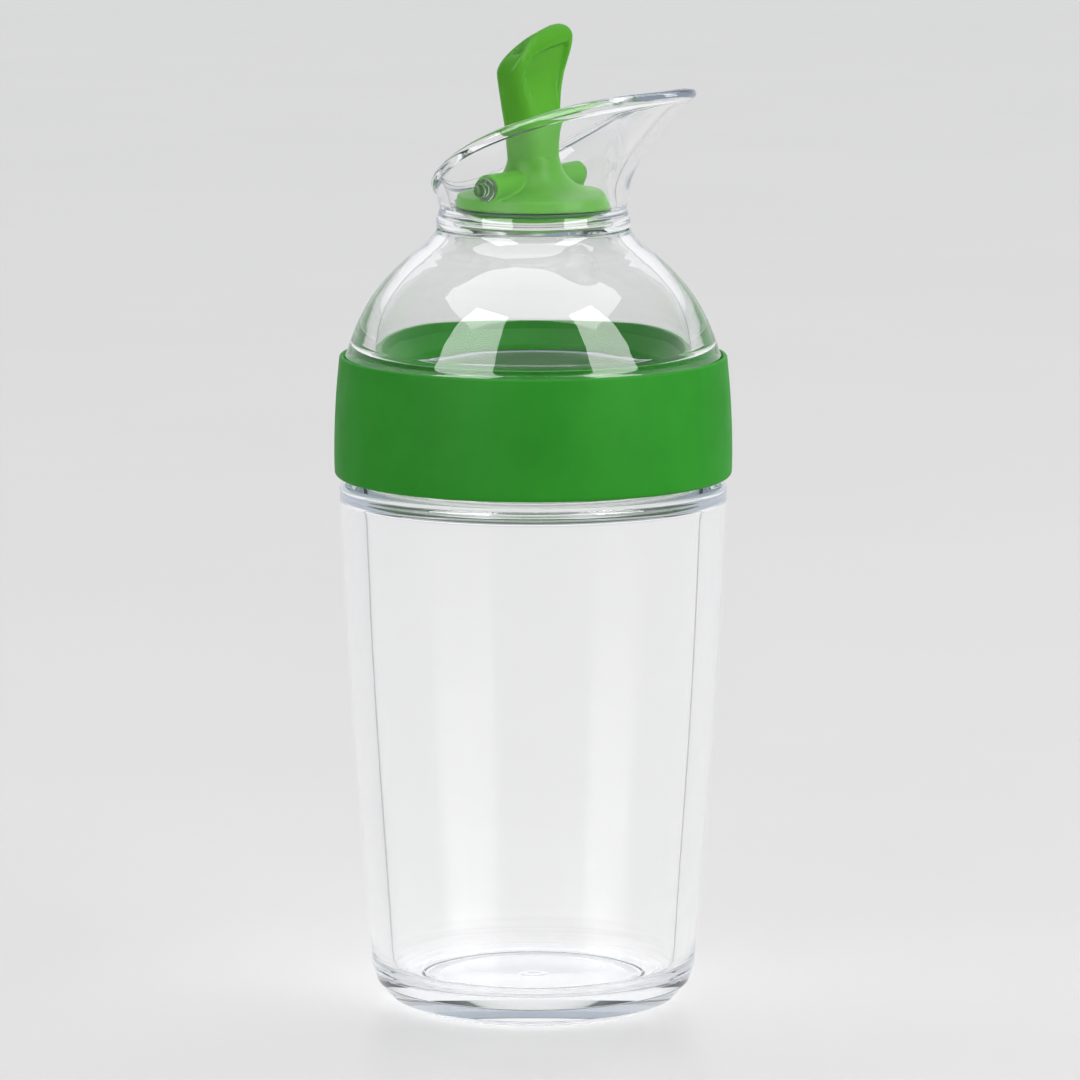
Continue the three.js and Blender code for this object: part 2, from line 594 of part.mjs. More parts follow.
// Hard plate that holds the seal, with a hub through it and a post up into the lever
function stopperPlugSolid() {
  const under = PIVOT - DISC_DROP;
  const gasketBottom = under - SEAT_GAP - STOPPER_GASKET_THICKNESS;
  const top = gasketBottom - SEAT_GAP;
  const bottom = top - PLUG_THICKNESS;
  return turned([
    [0, bottom],
    [PLUG_RADIUS - DISC_EDGE, bottom],
    [PLUG_RADIUS, bottom + DISC_EDGE],
    [PLUG_RADIUS, top - DISC_EDGE],
    [PLUG_RADIUS - DISC_EDGE, top],
    [PLUG_HUB_RADIUS, top],
    [PLUG_HUB_RADIUS, under - SEAT_GAP],
    [PLUG_POST_RADIUS, under - SEAT_GAP],
    [PLUG_POST_RADIUS, under + PLUG_POST_HEIGHT - SEAT_GAP],
    [0, under + PLUG_POST_HEIGHT - SEAT_GAP],
  ]);
}

const CLEAR = { color: 0xe9eef0, roughness: 0.05, opacity: 0.3 };
const LEVER_GREEN = { color: 0x4aa22f, roughness: 0.35 };

const shaker = new THREE.Group();
const tumbler = new THREE.Group();
tumbler.add(pieceOf('container', containerSolid(), CLEAR));

const lid = new THREE.Group();
lid.add(
  pieceOf('lid_gasket', lidGasketSolid(), { color: 0x0a6914, roughness: 0.55 }),
  pieceOf('thread_ring', threadRingSolid(), { color: 0x2f8f2c, roughness: 0.4 }),
  pieceOf('collar_grip', bandSolid(), { color: 0x2f8f2c, roughness: 0.6 }),
  pieceOf('dome', domeSolid(), CLEAR),
  pieceOf('pour_spout', spoutSolid(), CLEAR),
  pieceOf('pivot_pin_left', pinSolid(-1), CLEAR),
  pieceOf('pivot_pin_right', pinSolid(1), CLEAR),
);

const stopper = new THREE.Group();
stopper.add(
  pieceOf('lever', leverSolid(), LEVER_GREEN),
  pieceOf('stopper_gasket', stopperGasketSolid(), { color: 0x0a6914, roughness: 0.55 }),
  pieceOf('stopper_plug', stopperPlugSolid(), LEVER_GREEN),
);

lid.add(stopper);
shaker.add(tumbler, lid);
export default shaker;
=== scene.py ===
"""Salad dressing shaker: the finished pieces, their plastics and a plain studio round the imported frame."""

from __future__ import annotations

import logging
import math
from dataclasses import dataclass
from enum import Enum
from typing import Callable, Optional, Sequence, Union

import bmesh
import bpy
import numpy as np
from mathutils import Matrix, Vector

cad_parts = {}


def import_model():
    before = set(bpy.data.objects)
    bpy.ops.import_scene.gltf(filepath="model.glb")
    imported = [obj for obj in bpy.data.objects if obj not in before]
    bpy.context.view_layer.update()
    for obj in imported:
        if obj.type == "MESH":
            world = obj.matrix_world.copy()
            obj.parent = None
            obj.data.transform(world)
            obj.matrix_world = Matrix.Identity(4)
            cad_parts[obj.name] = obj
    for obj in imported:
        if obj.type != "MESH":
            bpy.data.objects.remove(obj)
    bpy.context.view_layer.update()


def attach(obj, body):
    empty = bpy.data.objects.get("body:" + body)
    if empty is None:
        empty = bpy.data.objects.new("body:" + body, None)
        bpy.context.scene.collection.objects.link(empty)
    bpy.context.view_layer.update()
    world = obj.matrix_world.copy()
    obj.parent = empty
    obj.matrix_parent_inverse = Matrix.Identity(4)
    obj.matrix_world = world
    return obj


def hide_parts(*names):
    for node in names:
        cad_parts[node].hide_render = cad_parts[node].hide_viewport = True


LOG = logging.getLogger("shaker")
MM = 0.001
NEAR = 1e-6
THREAD_STEP = 0.3
SHARP_ANGLE = 40.0
NOISE_MIDDLE = (0.3, 0.7)

Point = tuple[float, float]
Colour = tuple[float, float, float]
Socket = bpy.types.NodeSocket
Corner = tuple[float, float, float]
Loop = list[Point]
Warp = Callable[[np.ndarray, np.ndarray, np.ndarray], np.ndarray]


class Body(Enum):
    """The moving bodies that the pieces ride on."""

    TUMBLER = "tumbler"
    SEAL = "lid_seal"
    LID = "lid"
    STOPPER = "stopper"


class Slot(Enum):
    """The material slots of the record."""

    CLEAR_BODY = "clear_body"
    CLEAR_LID = "clear_lid"
    GREEN_SOFT = "green_soft"
    GREEN_HARD = "green_hard"
    GREEN_LEVER = "green_lever"
    STOPPER_SEAL = "stopper_seal"
    LID_SEAL = "lid_seal"


class Side(Enum):
    """The two sides of the lever along Y."""

    LEFT = -1
    RIGHT = 1


# Profiles


def rounded(corners: Sequence[Corner], steps: int, closed: bool = False) -> Loop:
    """Rounds the corners of a profile.

    Args:
        corners: radius, height and fillet of each corner, in mm.
        steps: spans in each fillet.
        closed: whether the last corner joins the first.

    Returns:
        The profile's points, as radius and height in mm.
    """
    count = len(corners)
    points: Loop = []
    for i, (x, y, fillet) in enumerate(corners):
        end = not closed and i in (0, count - 1)
        if fillet <= 0 or end:
            points.append((x, y))
            continue
        here = Vector((x, y))
        before = Vector(corners[i - 1][:2]) - here
        after = Vector(corners[(i + 1) % count][:2]) - here
        opening = before.angle(after)
        reach = min(fillet / math.tan(opening / 2), before.length * 0.49, after.length * 0.49)
        radius = reach * math.tan(opening / 2)
        back, ahead = before.normalized(), after.normalized()
        start, finish = here + back * reach, here + ahead * reach
        middle = here + (back + ahead).normalized() * (radius / math.sin(opening / 2))
        first = math.atan2(start.y - middle.y, start.x - middle.x)
        sweep = math.atan2(finish.y - middle.y, finish.x - middle.x) - first
        sweep = (sweep + math.pi) % (2 * math.pi) - math.pi
        for k in range(steps + 1):
            angle = first + sweep * k / steps
            points.append((middle.x + radius * math.cos(angle), middle.y + radius * math.sin(angle)))
    return points


def arc(x: float, y: float, size: float, start: float, stop: float, steps: int) -> Loop:
    """Gives the points of an arc.

    Args:
        x: radius of the arc's centre in the profile, in mm.
        y: height of the arc's centre, in mm.
        size: the arc's own radius, in mm.
        start: first angle, in degrees.
        stop: last angle, in degrees.
        steps: spans in the arc.

    Returns:
        The arc's points.
    """
    angles = np.radians(np.linspace(start, stop, steps + 1))
    return [(x + size * math.cos(a), y + size * math.sin(a)) for a in angles]


def flowing(points: Sequence[Point], count: int) -> Loop:
    """Runs a smooth curve through a few points.

    Args:
        points: the points that it passes.
        count: how many points to give back.

    Returns:
        Points along the curve, evenly spaced.
    """
    p = np.array(points, dtype=float)
    p = np.vstack([2 * p[0] - p[1], p, 2 * p[-1] - p[-2]])
    dense = []
    for i in range(1, len(p) - 2):
        a, b, c, d = p[i - 1 : i + 3]
        for t in np.linspace(0, 1, 24, endpoint=False):
            bend, twist = 2 * a - 5 * b + 4 * c - d, 3 * b - a - 3 * c + d
            dense.append(0.5 * (2 * b + (c - a) * t + bend * t**2 + twist * t**3))
    dense.append(p[-2])
    line = np.array(dense)
    way = np.r_[0, np.cumsum(np.linalg.norm(np.diff(line, axis=0), axis=1))]
    even = np.linspace(0, way[-1], count)
    return [(float(np.interp(s, way, line[:, 0])), float(np.interp(s, way, line[:, 1]))) for s in even]


def inward(points: Sequence[Point], walls: Sequence[float]) -> Loop:
    """Moves a profile that runs up its outer side inward, square to itself.

    Args:
        points: the outer side.
        walls: the wall at each point, in mm.

    Returns:
        The inner side, in the same order.
    """
    p = np.array(points)
    along = np.gradient(p, axis=0)
    along /= np.linalg.norm(along, axis=1, keepdims=True)
    wall = np.array(walls)
    inner = np.column_stack([p[:, 0] - along[:, 1] * wall, p[:, 1] + along[:, 0] * wall])
    return [tuple(point) for point in inner.tolist()]


# Meshes


def placed(name: str, data: bpy.types.ID) -> bpy.types.Object:
    """Makes an object for a mesh, lamp or camera and links it to the scene."""
    obj = bpy.data.objects.new(name, data)
    bpy.context.scene.collection.objects.link(obj)
    return obj


def mesh_object(name: str, verts: np.ndarray, faces: list[tuple[int, ...]]) -> bpy.types.Object:
    """Makes a smooth mesh object.

    Args:
        name: the object's name.
        verts: its points, in mm.
        faces: the corners of each face.

    Returns:
        The new object, linked to the scene.
    """
    mesh = bpy.data.meshes.new(name)
    mesh.from_pydata((verts * MM).tolist(), [], faces)
    mesh.validate()
    mesh.shade_smooth()
    return placed(name, mesh)


def ring_faces(rings: int, width: int, closed: bool) -> list[tuple[int, ...]]:
    """Joins rings of points with four-sided faces.

    Args:
        rings: how many rings there are.
        width: points in each ring.
        closed: whether the last ring joins the first.

    Returns:
        The faces, whose outer side is outward where rings run anticlockwise about their path.
    """
    faces = []
    for i in range(rings if closed else rings - 1):
        here, after = i * width, ((i + 1) % rings) * width
        for j in range(width):
            k = (j + 1) % width
            faces.append((here + j, after + j, after + k, here + k))
    return faces


def turned(name: str, loop: Loop, sides: int = 160, warp: Optional[Warp] = None) -> bpy.types.Object:
    """Turns a profile about Z.

    Args:
        name: the object's name.
        loop: the profile, which runs up its outer side and closes on itself or starts and ends on the axis.
        sides: faces around.
        warp: changes the radius by radius, height and angle, in mm and radians.

    Returns:
        The turned object.
    """
    on_axis = abs(loop[0][0]) < NEAR and abs(loop[-1][0]) < NEAR
    body = loop[1:-1] if on_axis else loop
    angles = np.arange(sides) * 2 * math.pi / sides
    r = np.tile([p[0] for p in body], (sides, 1))
    z = np.tile([p[1] for p in body], (sides, 1))
    theta = np.repeat(angles[:, None], len(body), axis=1)
    if warp:
        r = warp(r, z, theta)
    verts = np.stack([r * np.cos(theta), r * np.sin(theta), z], axis=-1).reshape(-1, 3)
    width = len(body)
    if not on_axis:
        return mesh_object(name, verts, ring_faces(sides, width, True))
    first, last = len(verts), len(verts) + 1
    verts = np.vstack([verts, [(0, 0, loop[0][1]), (0, 0, loop[-1][1])]])
    faces: list[tuple[int, ...]] = []
    for i in range(sides):
        here, after = i * width, ((i + 1) % sides) * width
        faces += [(here + j, after + j, after + j + 1, here + j + 1) for j in range(width - 1)]
        faces.append((first, after, here))
        faces.append((here + width - 1, after + width - 1, last))
    return mesh_object(name, verts, faces)


def settled(obj: bpy.types.Object) -> bpy.types.Object:
    """Applies an object's modifiers to its mesh and gives the object back."""
    graph = bpy.context.evaluated_depsgraph_get()
    graph.update()
    made = bpy.data.meshes.new_from_object(obj.evaluated_get(graph), depsgraph=graph)
    obj.modifiers.clear()
    obj.data = made
    return obj


def joined(name: str, parts: Sequence[bpy.types.Object]) -> bpy.types.Object:
    """Puts the meshes of several objects into one and removes the objects.

    Args:
        name: the new object's name.
        parts: the objects, each at the origin.

    Returns:
        One object with all their faces.
    """
    whole = bmesh.new()
    for part in parts:
        whole.from_mesh(part.data)
        bpy.data.objects.remove(part)
    mesh = bpy.data.meshes.new(name)
    whole.to_mesh(mesh)
    whole.free()
    return placed(name, mesh)


def fused(obj: bpy.types.Object, voxel: float, smoothing: int) -> bpy.types.Object:
    """Fuses overlapping closed forms into one skin with soft inner corners.

    Args:
        obj: the object that holds the forms.
        voxel: cell size, in mm.
        smoothing: rounds of smoothing.

    Returns:
        The same object.
    """
    remesh = obj.modifiers.new("fuse", "REMESH")
    remesh.mode = "VOXEL"
    remesh.voxel_size = voxel * MM
    smooth = obj.modifiers.new("soften", "SMOOTH")
    smooth.factor = 0.5
    smooth.iterations = smoothing
    settled(obj)
    obj.data.shade_smooth()
    return obj


def carved(obj: bpy.types.Object, cutters: Sequence[bpy.types.Object]) -> bpy.types.Object:
    """Cuts forms out of an object and removes the cutters.

    Args:
        obj: the object to cut.
        cutters: closed forms to take away.

    Returns:
        The same object.
    """
    for cutter in cutters:
        cut = obj.modifiers.new("cut", "BOOLEAN")
        cut.operation = "DIFFERENCE"
        cut.object = cutter
        cut.solver = "EXACT"
    settled(obj)
    for cutter in cutters:
        bpy.data.objects.remove(cutter)
    obj.data.shade_smooth()
    obj.data.set_sharp_from_angle(angle=math.radians(SHARP_ANGLE))
    return obj


# Materials


class Graph:
    """A material's or world's node tree with short calls to add and link nodes."""

    def __init__(self, owner: bpy.types.ID) -> None:
        """Clears the tree of a material or world."""
        owner.use_nodes = True
        self.tree = owner.node_tree
        self.tree.nodes.clear()

    def add(self, kind: str, **values: object) -> bpy.types.Node:
        """Adds a node.

        Args:
            kind: the node's type, without the ShaderNode prefix.
            values: properties by name, and inputs by name with spaces as underscores.

        Returns:
            The new node.
        """
        node = self.tree.nodes.new("ShaderNode" + kind)
        for key, value in values.items():
            label = key.replace("_", " ")
            if hasattr(node, key):
                setattr(node, key, value)
            else:
                node.inputs[label].default_value = value
        return node

    def link(self, source: Socket, target: Socket) -> None:
        """Links one socket to another."""
        self.tree.links.new(source, target)

    def noise(self, size: float, detail: float = 2.0, roughness: float = 0.5) -> Socket:
        """Adds a noise whose features are about size mm across, fixed to the object."""
        place = self.add("TexCoord")
        node = self.add("TexNoise", Scale=1 / (size * MM), Detail=detail, Roughness=roughness)
        self.link(place.outputs["Object"], node.inputs["Vector"])
        return node.outputs["Fac"]

    def span(self, source: Socket, start: Point, stop: Point = (0.0, 1.0)) -> Socket:
        """Maps one range of values to another.

        Args:
            source: the values.
            start: ends of their range.
            stop: what these ends become.

        Returns:
            The mapped output.
        """
        node = self.add("MapRange", From_Min=start[0], From_Max=start[1], To_Min=stop[0], To_Max=stop[1])
        self.link(source, node.inputs["Value"])
        return node.outputs["Result"]

    def worked(self, operation: str, first: Socket, second: Union[Socket, float]) -> Socket:
        """Works out a value from two others.

        Args:
            operation: the Math node's operation.
            first: its first value.
            second: its second value, as a socket or a number.

        Returns:
            The result.
        """
        node = self.add("Math", operation=operation)
        self.link(first, node.inputs[0])
        if isinstance(second, float):
            node.inputs[1].default_value = second
        else:
            self.link(second, node.inputs[1])
        return node.outputs[0]

    def mixed(self, share: Socket, first: Socket, second: Socket) -> Socket:
        """Mixes two shaders.

        Args:
            share: the second shader's share.
            first: the first shader.
            second: the second shader.

        Returns:
            The mixed shader.
        """
        node = self.add("MixShader")
        self.link(share, node.inputs["Fac"])
        self.link(first, node.inputs[1])
        self.link(second, node.inputs[2])
        return node.outputs["Shader"]

    def toned(self, source: Socket, low: Colour, high: Colour, ends: Point = (0.0, 1.0)) -> Socket:
        """Colours a range of values.

        Args:
            source: the values.
            low: colour at the range's low end.
            high: colour at its high end.
            ends: where the two colours stand.

        Returns:
            The colour.
        """
        tone = self.add("ValToRGB")
        for stop, place, colour in zip(tone.color_ramp.elements, ends, (low, high)):
            stop.position, stop.color = place, (*colour, 1)
        self.link(source, tone.inputs["Fac"])
        return tone.outputs["Color"]

    def bumped(self, source: Socket, depth: float, strength: float, shader: bpy.types.Node) -> None:
        """Raises a shader's surface by a noise.

        Args:
            source: the noise.
            depth: its height, in mm.
            strength: how much of it shows.
            shader: the shader.
        """
        bump = self.add("Bump", Distance=depth * MM, Strength=strength)
        self.link(source, bump.inputs["Height"])
        self.link(bump.outputs["Normal"], shader.inputs["Normal"])

    def finish(self, surface: Socket, volume: Optional[Socket] = None, kind: str = "Material") -> None:
        """Ends the tree with its output.

        Args:
            surface: the surface's shader.
            volume: the inside's shader.
            kind: whether the tree is a Material's or a World's.
        """
        output = self.add("Output" + kind)
        self.link(surface, output.inputs["Surface"])
        if volume:
            self.link(volume, output.inputs["Volume"])


@dataclass(frozen=True)
class ClearPlastic:
    """Thick, clear, polished plastic with the faint waviness of moulding."""

    name: str
    tint: Colour = (0.998, 0.999, 1.0)
    ior: float = 1.49
    reflection: float = 0.28
    wave_size: float = 9.0
    wave_depth: float = 0.004
    smear_size: float = 14.0
    smear: Point = (0.0, 0.018)
    shade: Colour = (0.995, 0.995, 0.995)
    edge_shade: Colour = (0.9, 0.9, 0.927)
    body_tint: Colour = (0.3, 0.45, 0.62)
    body_depth: float = 0.9
    # Painted glow: the tone of a pale emission that stands in for light on rays past the given number of
    # surfaces.
    deep_ray_painted_glow: Colour = (0.26, 0.31, 0.38)
    deep_ray_glow_after: float = 8.5
    # Painted shade: the dark tone of the painted rim lines, and the facing range where they show.
    painted_rim_shade: Colour = (0.06, 0.068, 0.08)
    painted_rim_facing: Point = (0.852, 0.9)
    # Painted glow: strength of a faint white emission over the whole surface.
    painted_haze_glow: float = 0.0
    satin: float = 0.0
    satin_heights: Point = (0.8, 1.2)

    def gloss(self, graph: Graph) -> Socket:
        """Gives the roughness: faint smears, and a satin underside on a piece that has one."""
        smeared = graph.span(graph.noise(self.smear_size, 3.0, 0.6), NOISE_MIDDLE, self.smear)
        if self.satin == 0:
            return smeared
        place, split = graph.add("TexCoord"), graph.add("SeparateXYZ")
        graph.link(place.outputs["Object"], split.inputs[0])
        low, high = self.satin_heights
        foot = graph.span(split.outputs["Z"], (low * MM, high * MM), (self.satin, 0.0))
        return graph.worked("ADD", smeared, foot)

    def lamp_way(self, graph: Graph) -> Socket:
        """Gives the clear shader that lamps shine through, darker at the edges."""
        facing = graph.add("LayerWeight", Blend=0.35)
        veil = graph.add("Mix", data_type="RGBA")
        near, far = [socket for socket in veil.inputs if socket.type == "RGBA"]
        near.default_value, far.default_value = (*self.shade, 1), (*self.edge_shade, 1)
        graph.link(facing.outputs["Facing"], veil.inputs["Factor"])
        clear = graph.add("BsdfTransparent")
        graph.link([socket for socket in veil.outputs if socket.type == "RGBA"][0], clear.inputs["Color"])
        return clear.outputs["BSDF"]

    def with_painted_light(self, graph: Graph, depth: Socket, plastic: Socket) -> Socket:
        """Paints a pale glow in place of light that has met many surfaces, and paints dark shade on grazing
        hits behind the first surface.

        Args:
            graph: the material's tree.
            depth: how many surfaces the light has met.
            plastic: the plastic's shader.

        Returns:
            The shader with both.
        """
        # Painted glow: a pale blue-grey emission replaces the plastic on rays that have met many surfaces.
        painted_deep_glow = graph.add("Emission", Color=(*self.deep_ray_painted_glow, 1))
        many = graph.worked("GREATER_THAN", depth, self.deep_ray_glow_after)
        body = graph.mixed(many, plastic, painted_deep_glow.outputs["Emission"])
        # Painted shade: a dark emission at grazing hits behind the first surface draws dark rim lines.
        graze = graph.span(graph.add("LayerWeight", Blend=0.5).outputs["Facing"], self.painted_rim_facing)
        line = graph.worked("MULTIPLY", graze, graph.worked("GREATER_THAN", depth, 0.5))
        rim = graph.add("Emission", Color=(*self.painted_rim_shade, 1))
        return graph.mixed(line, body, rim.outputs["Emission"])

    def build(self) -> bpy.types.Material:
        """Makes the material. Lamps shine through it, weaker at its edges. It carries a faint white painted
        glow, a painted glow on deep rays and painted dark rim lines.
        """
        material = bpy.data.materials.new(self.name)
        material.cycles.emission_sampling = "NONE"
        graph = Graph(material)
        # The white emission at the painted glow's strength paints light over the whole surface.
        plastic = graph.add(
            "BsdfPrincipled", Base_Color=(*self.tint, 1), IOR=self.ior, Specular_IOR_Level=self.reflection,
            Transmission_Weight=1.0, Emission_Color=(1.0, 1.0, 1.0, 1), Emission_Strength=self.painted_haze_glow,
        )
        graph.bumped(graph.noise(self.wave_size, 1.0), self.wave_depth, 1.0, plastic)
        graph.link(self.gloss(graph), plastic.inputs["Roughness"])
        ray = graph.add("LightPath")
        body = self.with_painted_light(graph, ray.outputs["Ray Depth"], plastic.outputs["BSDF"])
        inside = graph.add("VolumeAbsorption", Color=(*self.body_tint, 1), Density=self.body_depth)
        whole = graph.mixed(ray.outputs["Is Shadow Ray"], body, self.lamp_way(graph))
        graph.finish(whole, inside.outputs["Volume"])
        return material


@dataclass(frozen=True)
class MouldedPlastic:
    """Coloured plastic or soft rubber with a fine moulded grain and a faint mottle."""

    name: str
    colour: Colour
    deep: Colour
    roughness: Point = (0.3, 0.38)
    grain_size: float = 0.5
    grain_depth: float = 0.004
    mottle_size: float = 12.0
    glow: float = 0.0
    glow_depth: float = 1.5
    glow_radius: Colour = (0.6, 1.0, 0.4)
    specular: float = 0.5
    sheen: float = 0.0

    def build(self) -> bpy.types.Material:
        """Makes the material."""
        material = bpy.data.materials.new(self.name)
        graph = Graph(material)
        plastic = graph.add("BsdfPrincipled", IOR=1.48, Specular_IOR_Level=self.specular)
        mottle = graph.noise(self.mottle_size, 4.0, 0.6)
        graph.link(graph.toned(mottle, self.deep, self.colour, NOISE_MIDDLE), plastic.inputs["Base Color"])
        wear = graph.noise(self.mottle_size / 3, 3.0)
        graph.link(graph.span(wear, NOISE_MIDDLE, self.roughness), plastic.inputs["Roughness"])
        if self.glow > 0:
            plastic.inputs["Subsurface Weight"].default_value = self.glow
            plastic.inputs["Subsurface Scale"].default_value = self.glow_depth * MM
            plastic.inputs["Subsurface Radius"].default_value = self.glow_radius
        if self.sheen > 0:
            plastic.inputs["Sheen Weight"].default_value = self.sheen
            plastic.inputs["Sheen Roughness"].default_value = 0.5
        graph.bumped(graph.noise(self.grain_size, 2.0), self.grain_depth, 0.6, plastic)
        graph.finish(plastic.outputs["BSDF"])
        return material


# The tumbler's plastic carries a faint white painted glow.
BODY_CLEAR = ClearPlastic("tumbler_clear", satin=0.3, painted_haze_glow=0.02)
LID_CLEAR = ClearPlastic("lid_clear", wave_size=7.0)
SOFT_GREEN = MouldedPlastic(
    "band_soft_green", (0.027, 0.28, 0.02), (0.02, 0.235, 0.016),
    roughness=(0.46, 0.56), grain_size=0.35, grain_depth=0.012, mottle_size=22.0, specular=0.08, sheen=0.01,
)
RING_GREEN = MouldedPlastic(
    "ring_green", (0.014, 0.21, 0.009), (0.011, 0.175, 0.007), roughness=(0.28, 0.36), specular=0.14,
)
LEVER_GREEN = MouldedPlastic(
    "lever_green", (0.092, 0.37, 0.026), (0.076, 0.33, 0.021),
    roughness=(0.27, 0.36), glow=0.1, specular=0.09,
)
SEAL_GREEN = MouldedPlastic(
    "seal_dark_green", (0.006, 0.13, 0.01), (0.004, 0.1, 0.008), roughness=(0.34, 0.45),
)


# The object


@dataclass
class Thread:
    """The screw thread that the tumbler's neck and the lid's ring share."""

    lead: float = 8.0
    starts: int = 2
    turns: float = 0.575
    depth: float = 1.4
    root_width: float = 2.3
    crest_width: float = 1.2
    fade: float = 0.035

    def height(self, z: np.ndarray, theta: np.ndarray, start: float) -> np.ndarray:
        """Gives how far the ridge stands out of the wall.

        Args:
            z: heights, in mm.
            theta: angles about the axis, in radians.
            start: height of the middle of the lowest ridge, in mm.

        Returns:
            The ridge's height over its root, in mm.
        """
        out = np.zeros_like(z)
        for i in range(self.starts):
            turn = np.mod(theta / (2 * math.pi) - i / self.starts, 1.0)
            away = np.abs(z - start - turn * self.lead)
            flank = np.clip(
                (self.root_width / 2 - away) / ((self.root_width - self.crest_width) / 2), 0, 1
            )
            ends = np.clip(turn / self.fade, 0, 1) * np.clip((self.turns - turn) / self.fade, 0, 1)
            out = np.maximum(out, flank * ends * self.depth)
        return out


class Piece:
    """Shared steps that put a finished mesh on its body in place of its solid."""

    @staticmethod
    def place(
        obj: bpy.types.Object, node: str, body: Body, slot: Slot, material: bpy.types.Material
    ) -> bpy.types.Object:
        """Dresses a piece and lets it stand for its solid.

        Args:
            obj: the finished mesh object.
            node: the solid that it stands for.
            body: what it rides on.
            slot: the record's slot for its finish; not used.
            material: its material.

        Returns:
            The same object.
        """
        obj.data.materials.clear()
        obj.data.materials.append(material)
        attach(obj, body.value)
        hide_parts(node)
        LOG.info("%s: %d faces on %s", obj.name, len(obj.data.polygons), body.value)
        return obj


@dataclass
class Tumbler:
    """The clear container with its thick floor, shoulder and threaded neck."""

    base_radius: float = 35.3
    top_radius: float = 41.95
    height: float = 114.5
    wall_top: float = 5.6
    wall_base: float = 4.4
    base_corner: float = 10.6
    base_flats: tuple[float, ...] = (-90, -66, -42, -18, -4)
    flat_edge: float = 0.9
    floor: float = 7.8
    floor_fillet: float = 4.5
    floor_foot: Corner = (0.25, 1.9, 2.0)
    floor_rings: tuple[Corner, ...] = (
        (28.9, 0.25, 0.8), (27.2, 0, 0.25), (26.8, -0.25, 0.25), (24.5, -0.25, 0.2), (24.1, -0.4, 0.2),
        (22.0, -0.4, 0),
    )
    floor_dip: float = 0.4
    floor_middle: Point = (21.0, 1.5)
    foot_ring: float = 1.5
    foot_recess: float = 0.6
    recess_slope: float = 2.6
    gate: tuple[Point, ...] = ((0, 0.8), (1.2, 0.8), (1.7, 0.7), (2.5, 0.7), (2.9, 0.82), (3.4, 0.82))
    gate_radius: float = 4.1
    shoulder_edge: float = 1.6
    shoulder_thickness: float = 2.3
    shoulder_fillet: float = 2.0
    neck_radius: float = 32.0
    neck_wall: float = 3.7
    neck_height: float = 19.2
    neck_collar: float = 1.2
    neck_start: float = 1.4
    neck_margin: float = 0.2
    bore_margin: float = 2.5
    rim_edge: float = 1.1
    thread_rise: float = 10.0
    bow: tuple[Point, ...] = ((0, 0), (0.16, 0.18), (0.45, 0.53), (0.69, 0.77), (1, 1))

    def profile(self) -> Loop:
        """Gives the section, from the underside's middle round to the floor's middle."""
        growth = self.top_radius - self.base_radius
        thinner = self.wall_top - self.wall_base
        side = self.height - self.shoulder_edge - self.base_corner
        under = self.height - self.shoulder_thickness
        low, high = self.floor + self.floor_fillet, under - self.shoulder_fillet
        outer = flowing(
            [(self.base_radius + growth * g, self.base_corner + side * u) for u, g in self.bow], 60
        )
        inner = flowing(
            [
                (self.base_radius + growth * g - self.wall_base - thinner * g, low + (high - low) * u)
                for u, g in self.bow
            ],
            54,
        )
        foot = self.base_radius - self.base_corner
        recess = foot - self.foot_ring
        bottom = rounded(
            [
                (self.gate_radius, self.foot_recess, 0), (recess - self.recess_slope, self.foot_recess, 1.2),
                (recess, 0, 0.3), (foot, 0, 0),
            ],
            4,
        )
        edge, lip, collar = self.shoulder_edge, self.rim_edge, self.neck_collar
        rim = self.height + self.neck_height
        bore = self.neck_radius - self.neck_wall
        neck = np.arange(self.height + self.neck_start, rim - lip - self.neck_margin, THREAD_STEP)
        wall = np.linspace(rim - self.bore_margin, under + self.bore_margin, 8)
        level = self.floor - self.floor_dip
        return (
            [*self.gate, *bottom] + self.base_edge(foot) + outer
            + arc(self.top_radius - edge, self.height - edge, edge, 6, 90, 8)
            + arc(self.neck_radius + collar, self.height + collar, collar, -90, -172, 5)
            + [(self.neck_radius, z) for z in neck]
            + arc(self.neck_radius - lip, rim - lip, lip, 0, 90, 6)
            + arc(bore + lip, rim - lip, lip, 90, 180, 6)
            + [(bore, z) for z in wall]
            + arc(bore + lip, under + lip, lip, 180, 264, 6)
            + arc(inner[-1][0] - self.shoulder_fillet, high, self.shoulder_fillet, 88, 4, 10)
            + inner[::-1] + self.floor_edge(inner[0][0])
            + [(r, level) for r in np.linspace(*self.floor_middle, 8)] + [(0, level)]
        )

    def base_edge(self, foot: float) -> Loop:
        """Gives the base's corner as narrow flats with soft edges, from its foot's radius out.

        Args:
            foot: radius where the corner's arc meets the table.

        Returns:
            The corner's points, from the table up.
        """
        turns = np.radians(self.base_flats)
        spots = [(foot, 0, 0)]
        for low, high in zip(turns[:-1], turns[1:]):
            reach = self.base_corner / math.cos((high - low) / 2)
            middle = (low + high) / 2
            across, up = reach * math.cos(middle), reach * math.sin(middle)
            spots.append((foot + across, self.base_corner + up, self.flat_edge))
        end = turns[-1]
        spots.append((foot + self.base_corner * math.cos(end), self.base_corner * (1 + math.sin(end)), 0))
        return rounded(spots, 5)

    def floor_edge(self, wall: float) -> Loop:
        """Gives the inner corner over the floor, with the fine rings that a mould leaves there.

        Args:
            wall: the inner wall's radius at its foot.

        Returns:
            The corner's points, from the wall in to the floor.
        """
        inset, rise, fillet = self.floor_foot
        spots = [(wall, self.floor + self.floor_fillet, 0), (wall - inset, self.floor + rise, fillet)]
        spots += [(radius, self.floor + lift, edge) for radius, lift, edge in self.floor_rings]
        return rounded(spots, 5)[1:]

    def build(self, thread: Thread) -> None:
        """Makes the container with its thread.

        Args:
            thread: the screw thread on the neck.
        """
        start = self.height + self.thread_rise

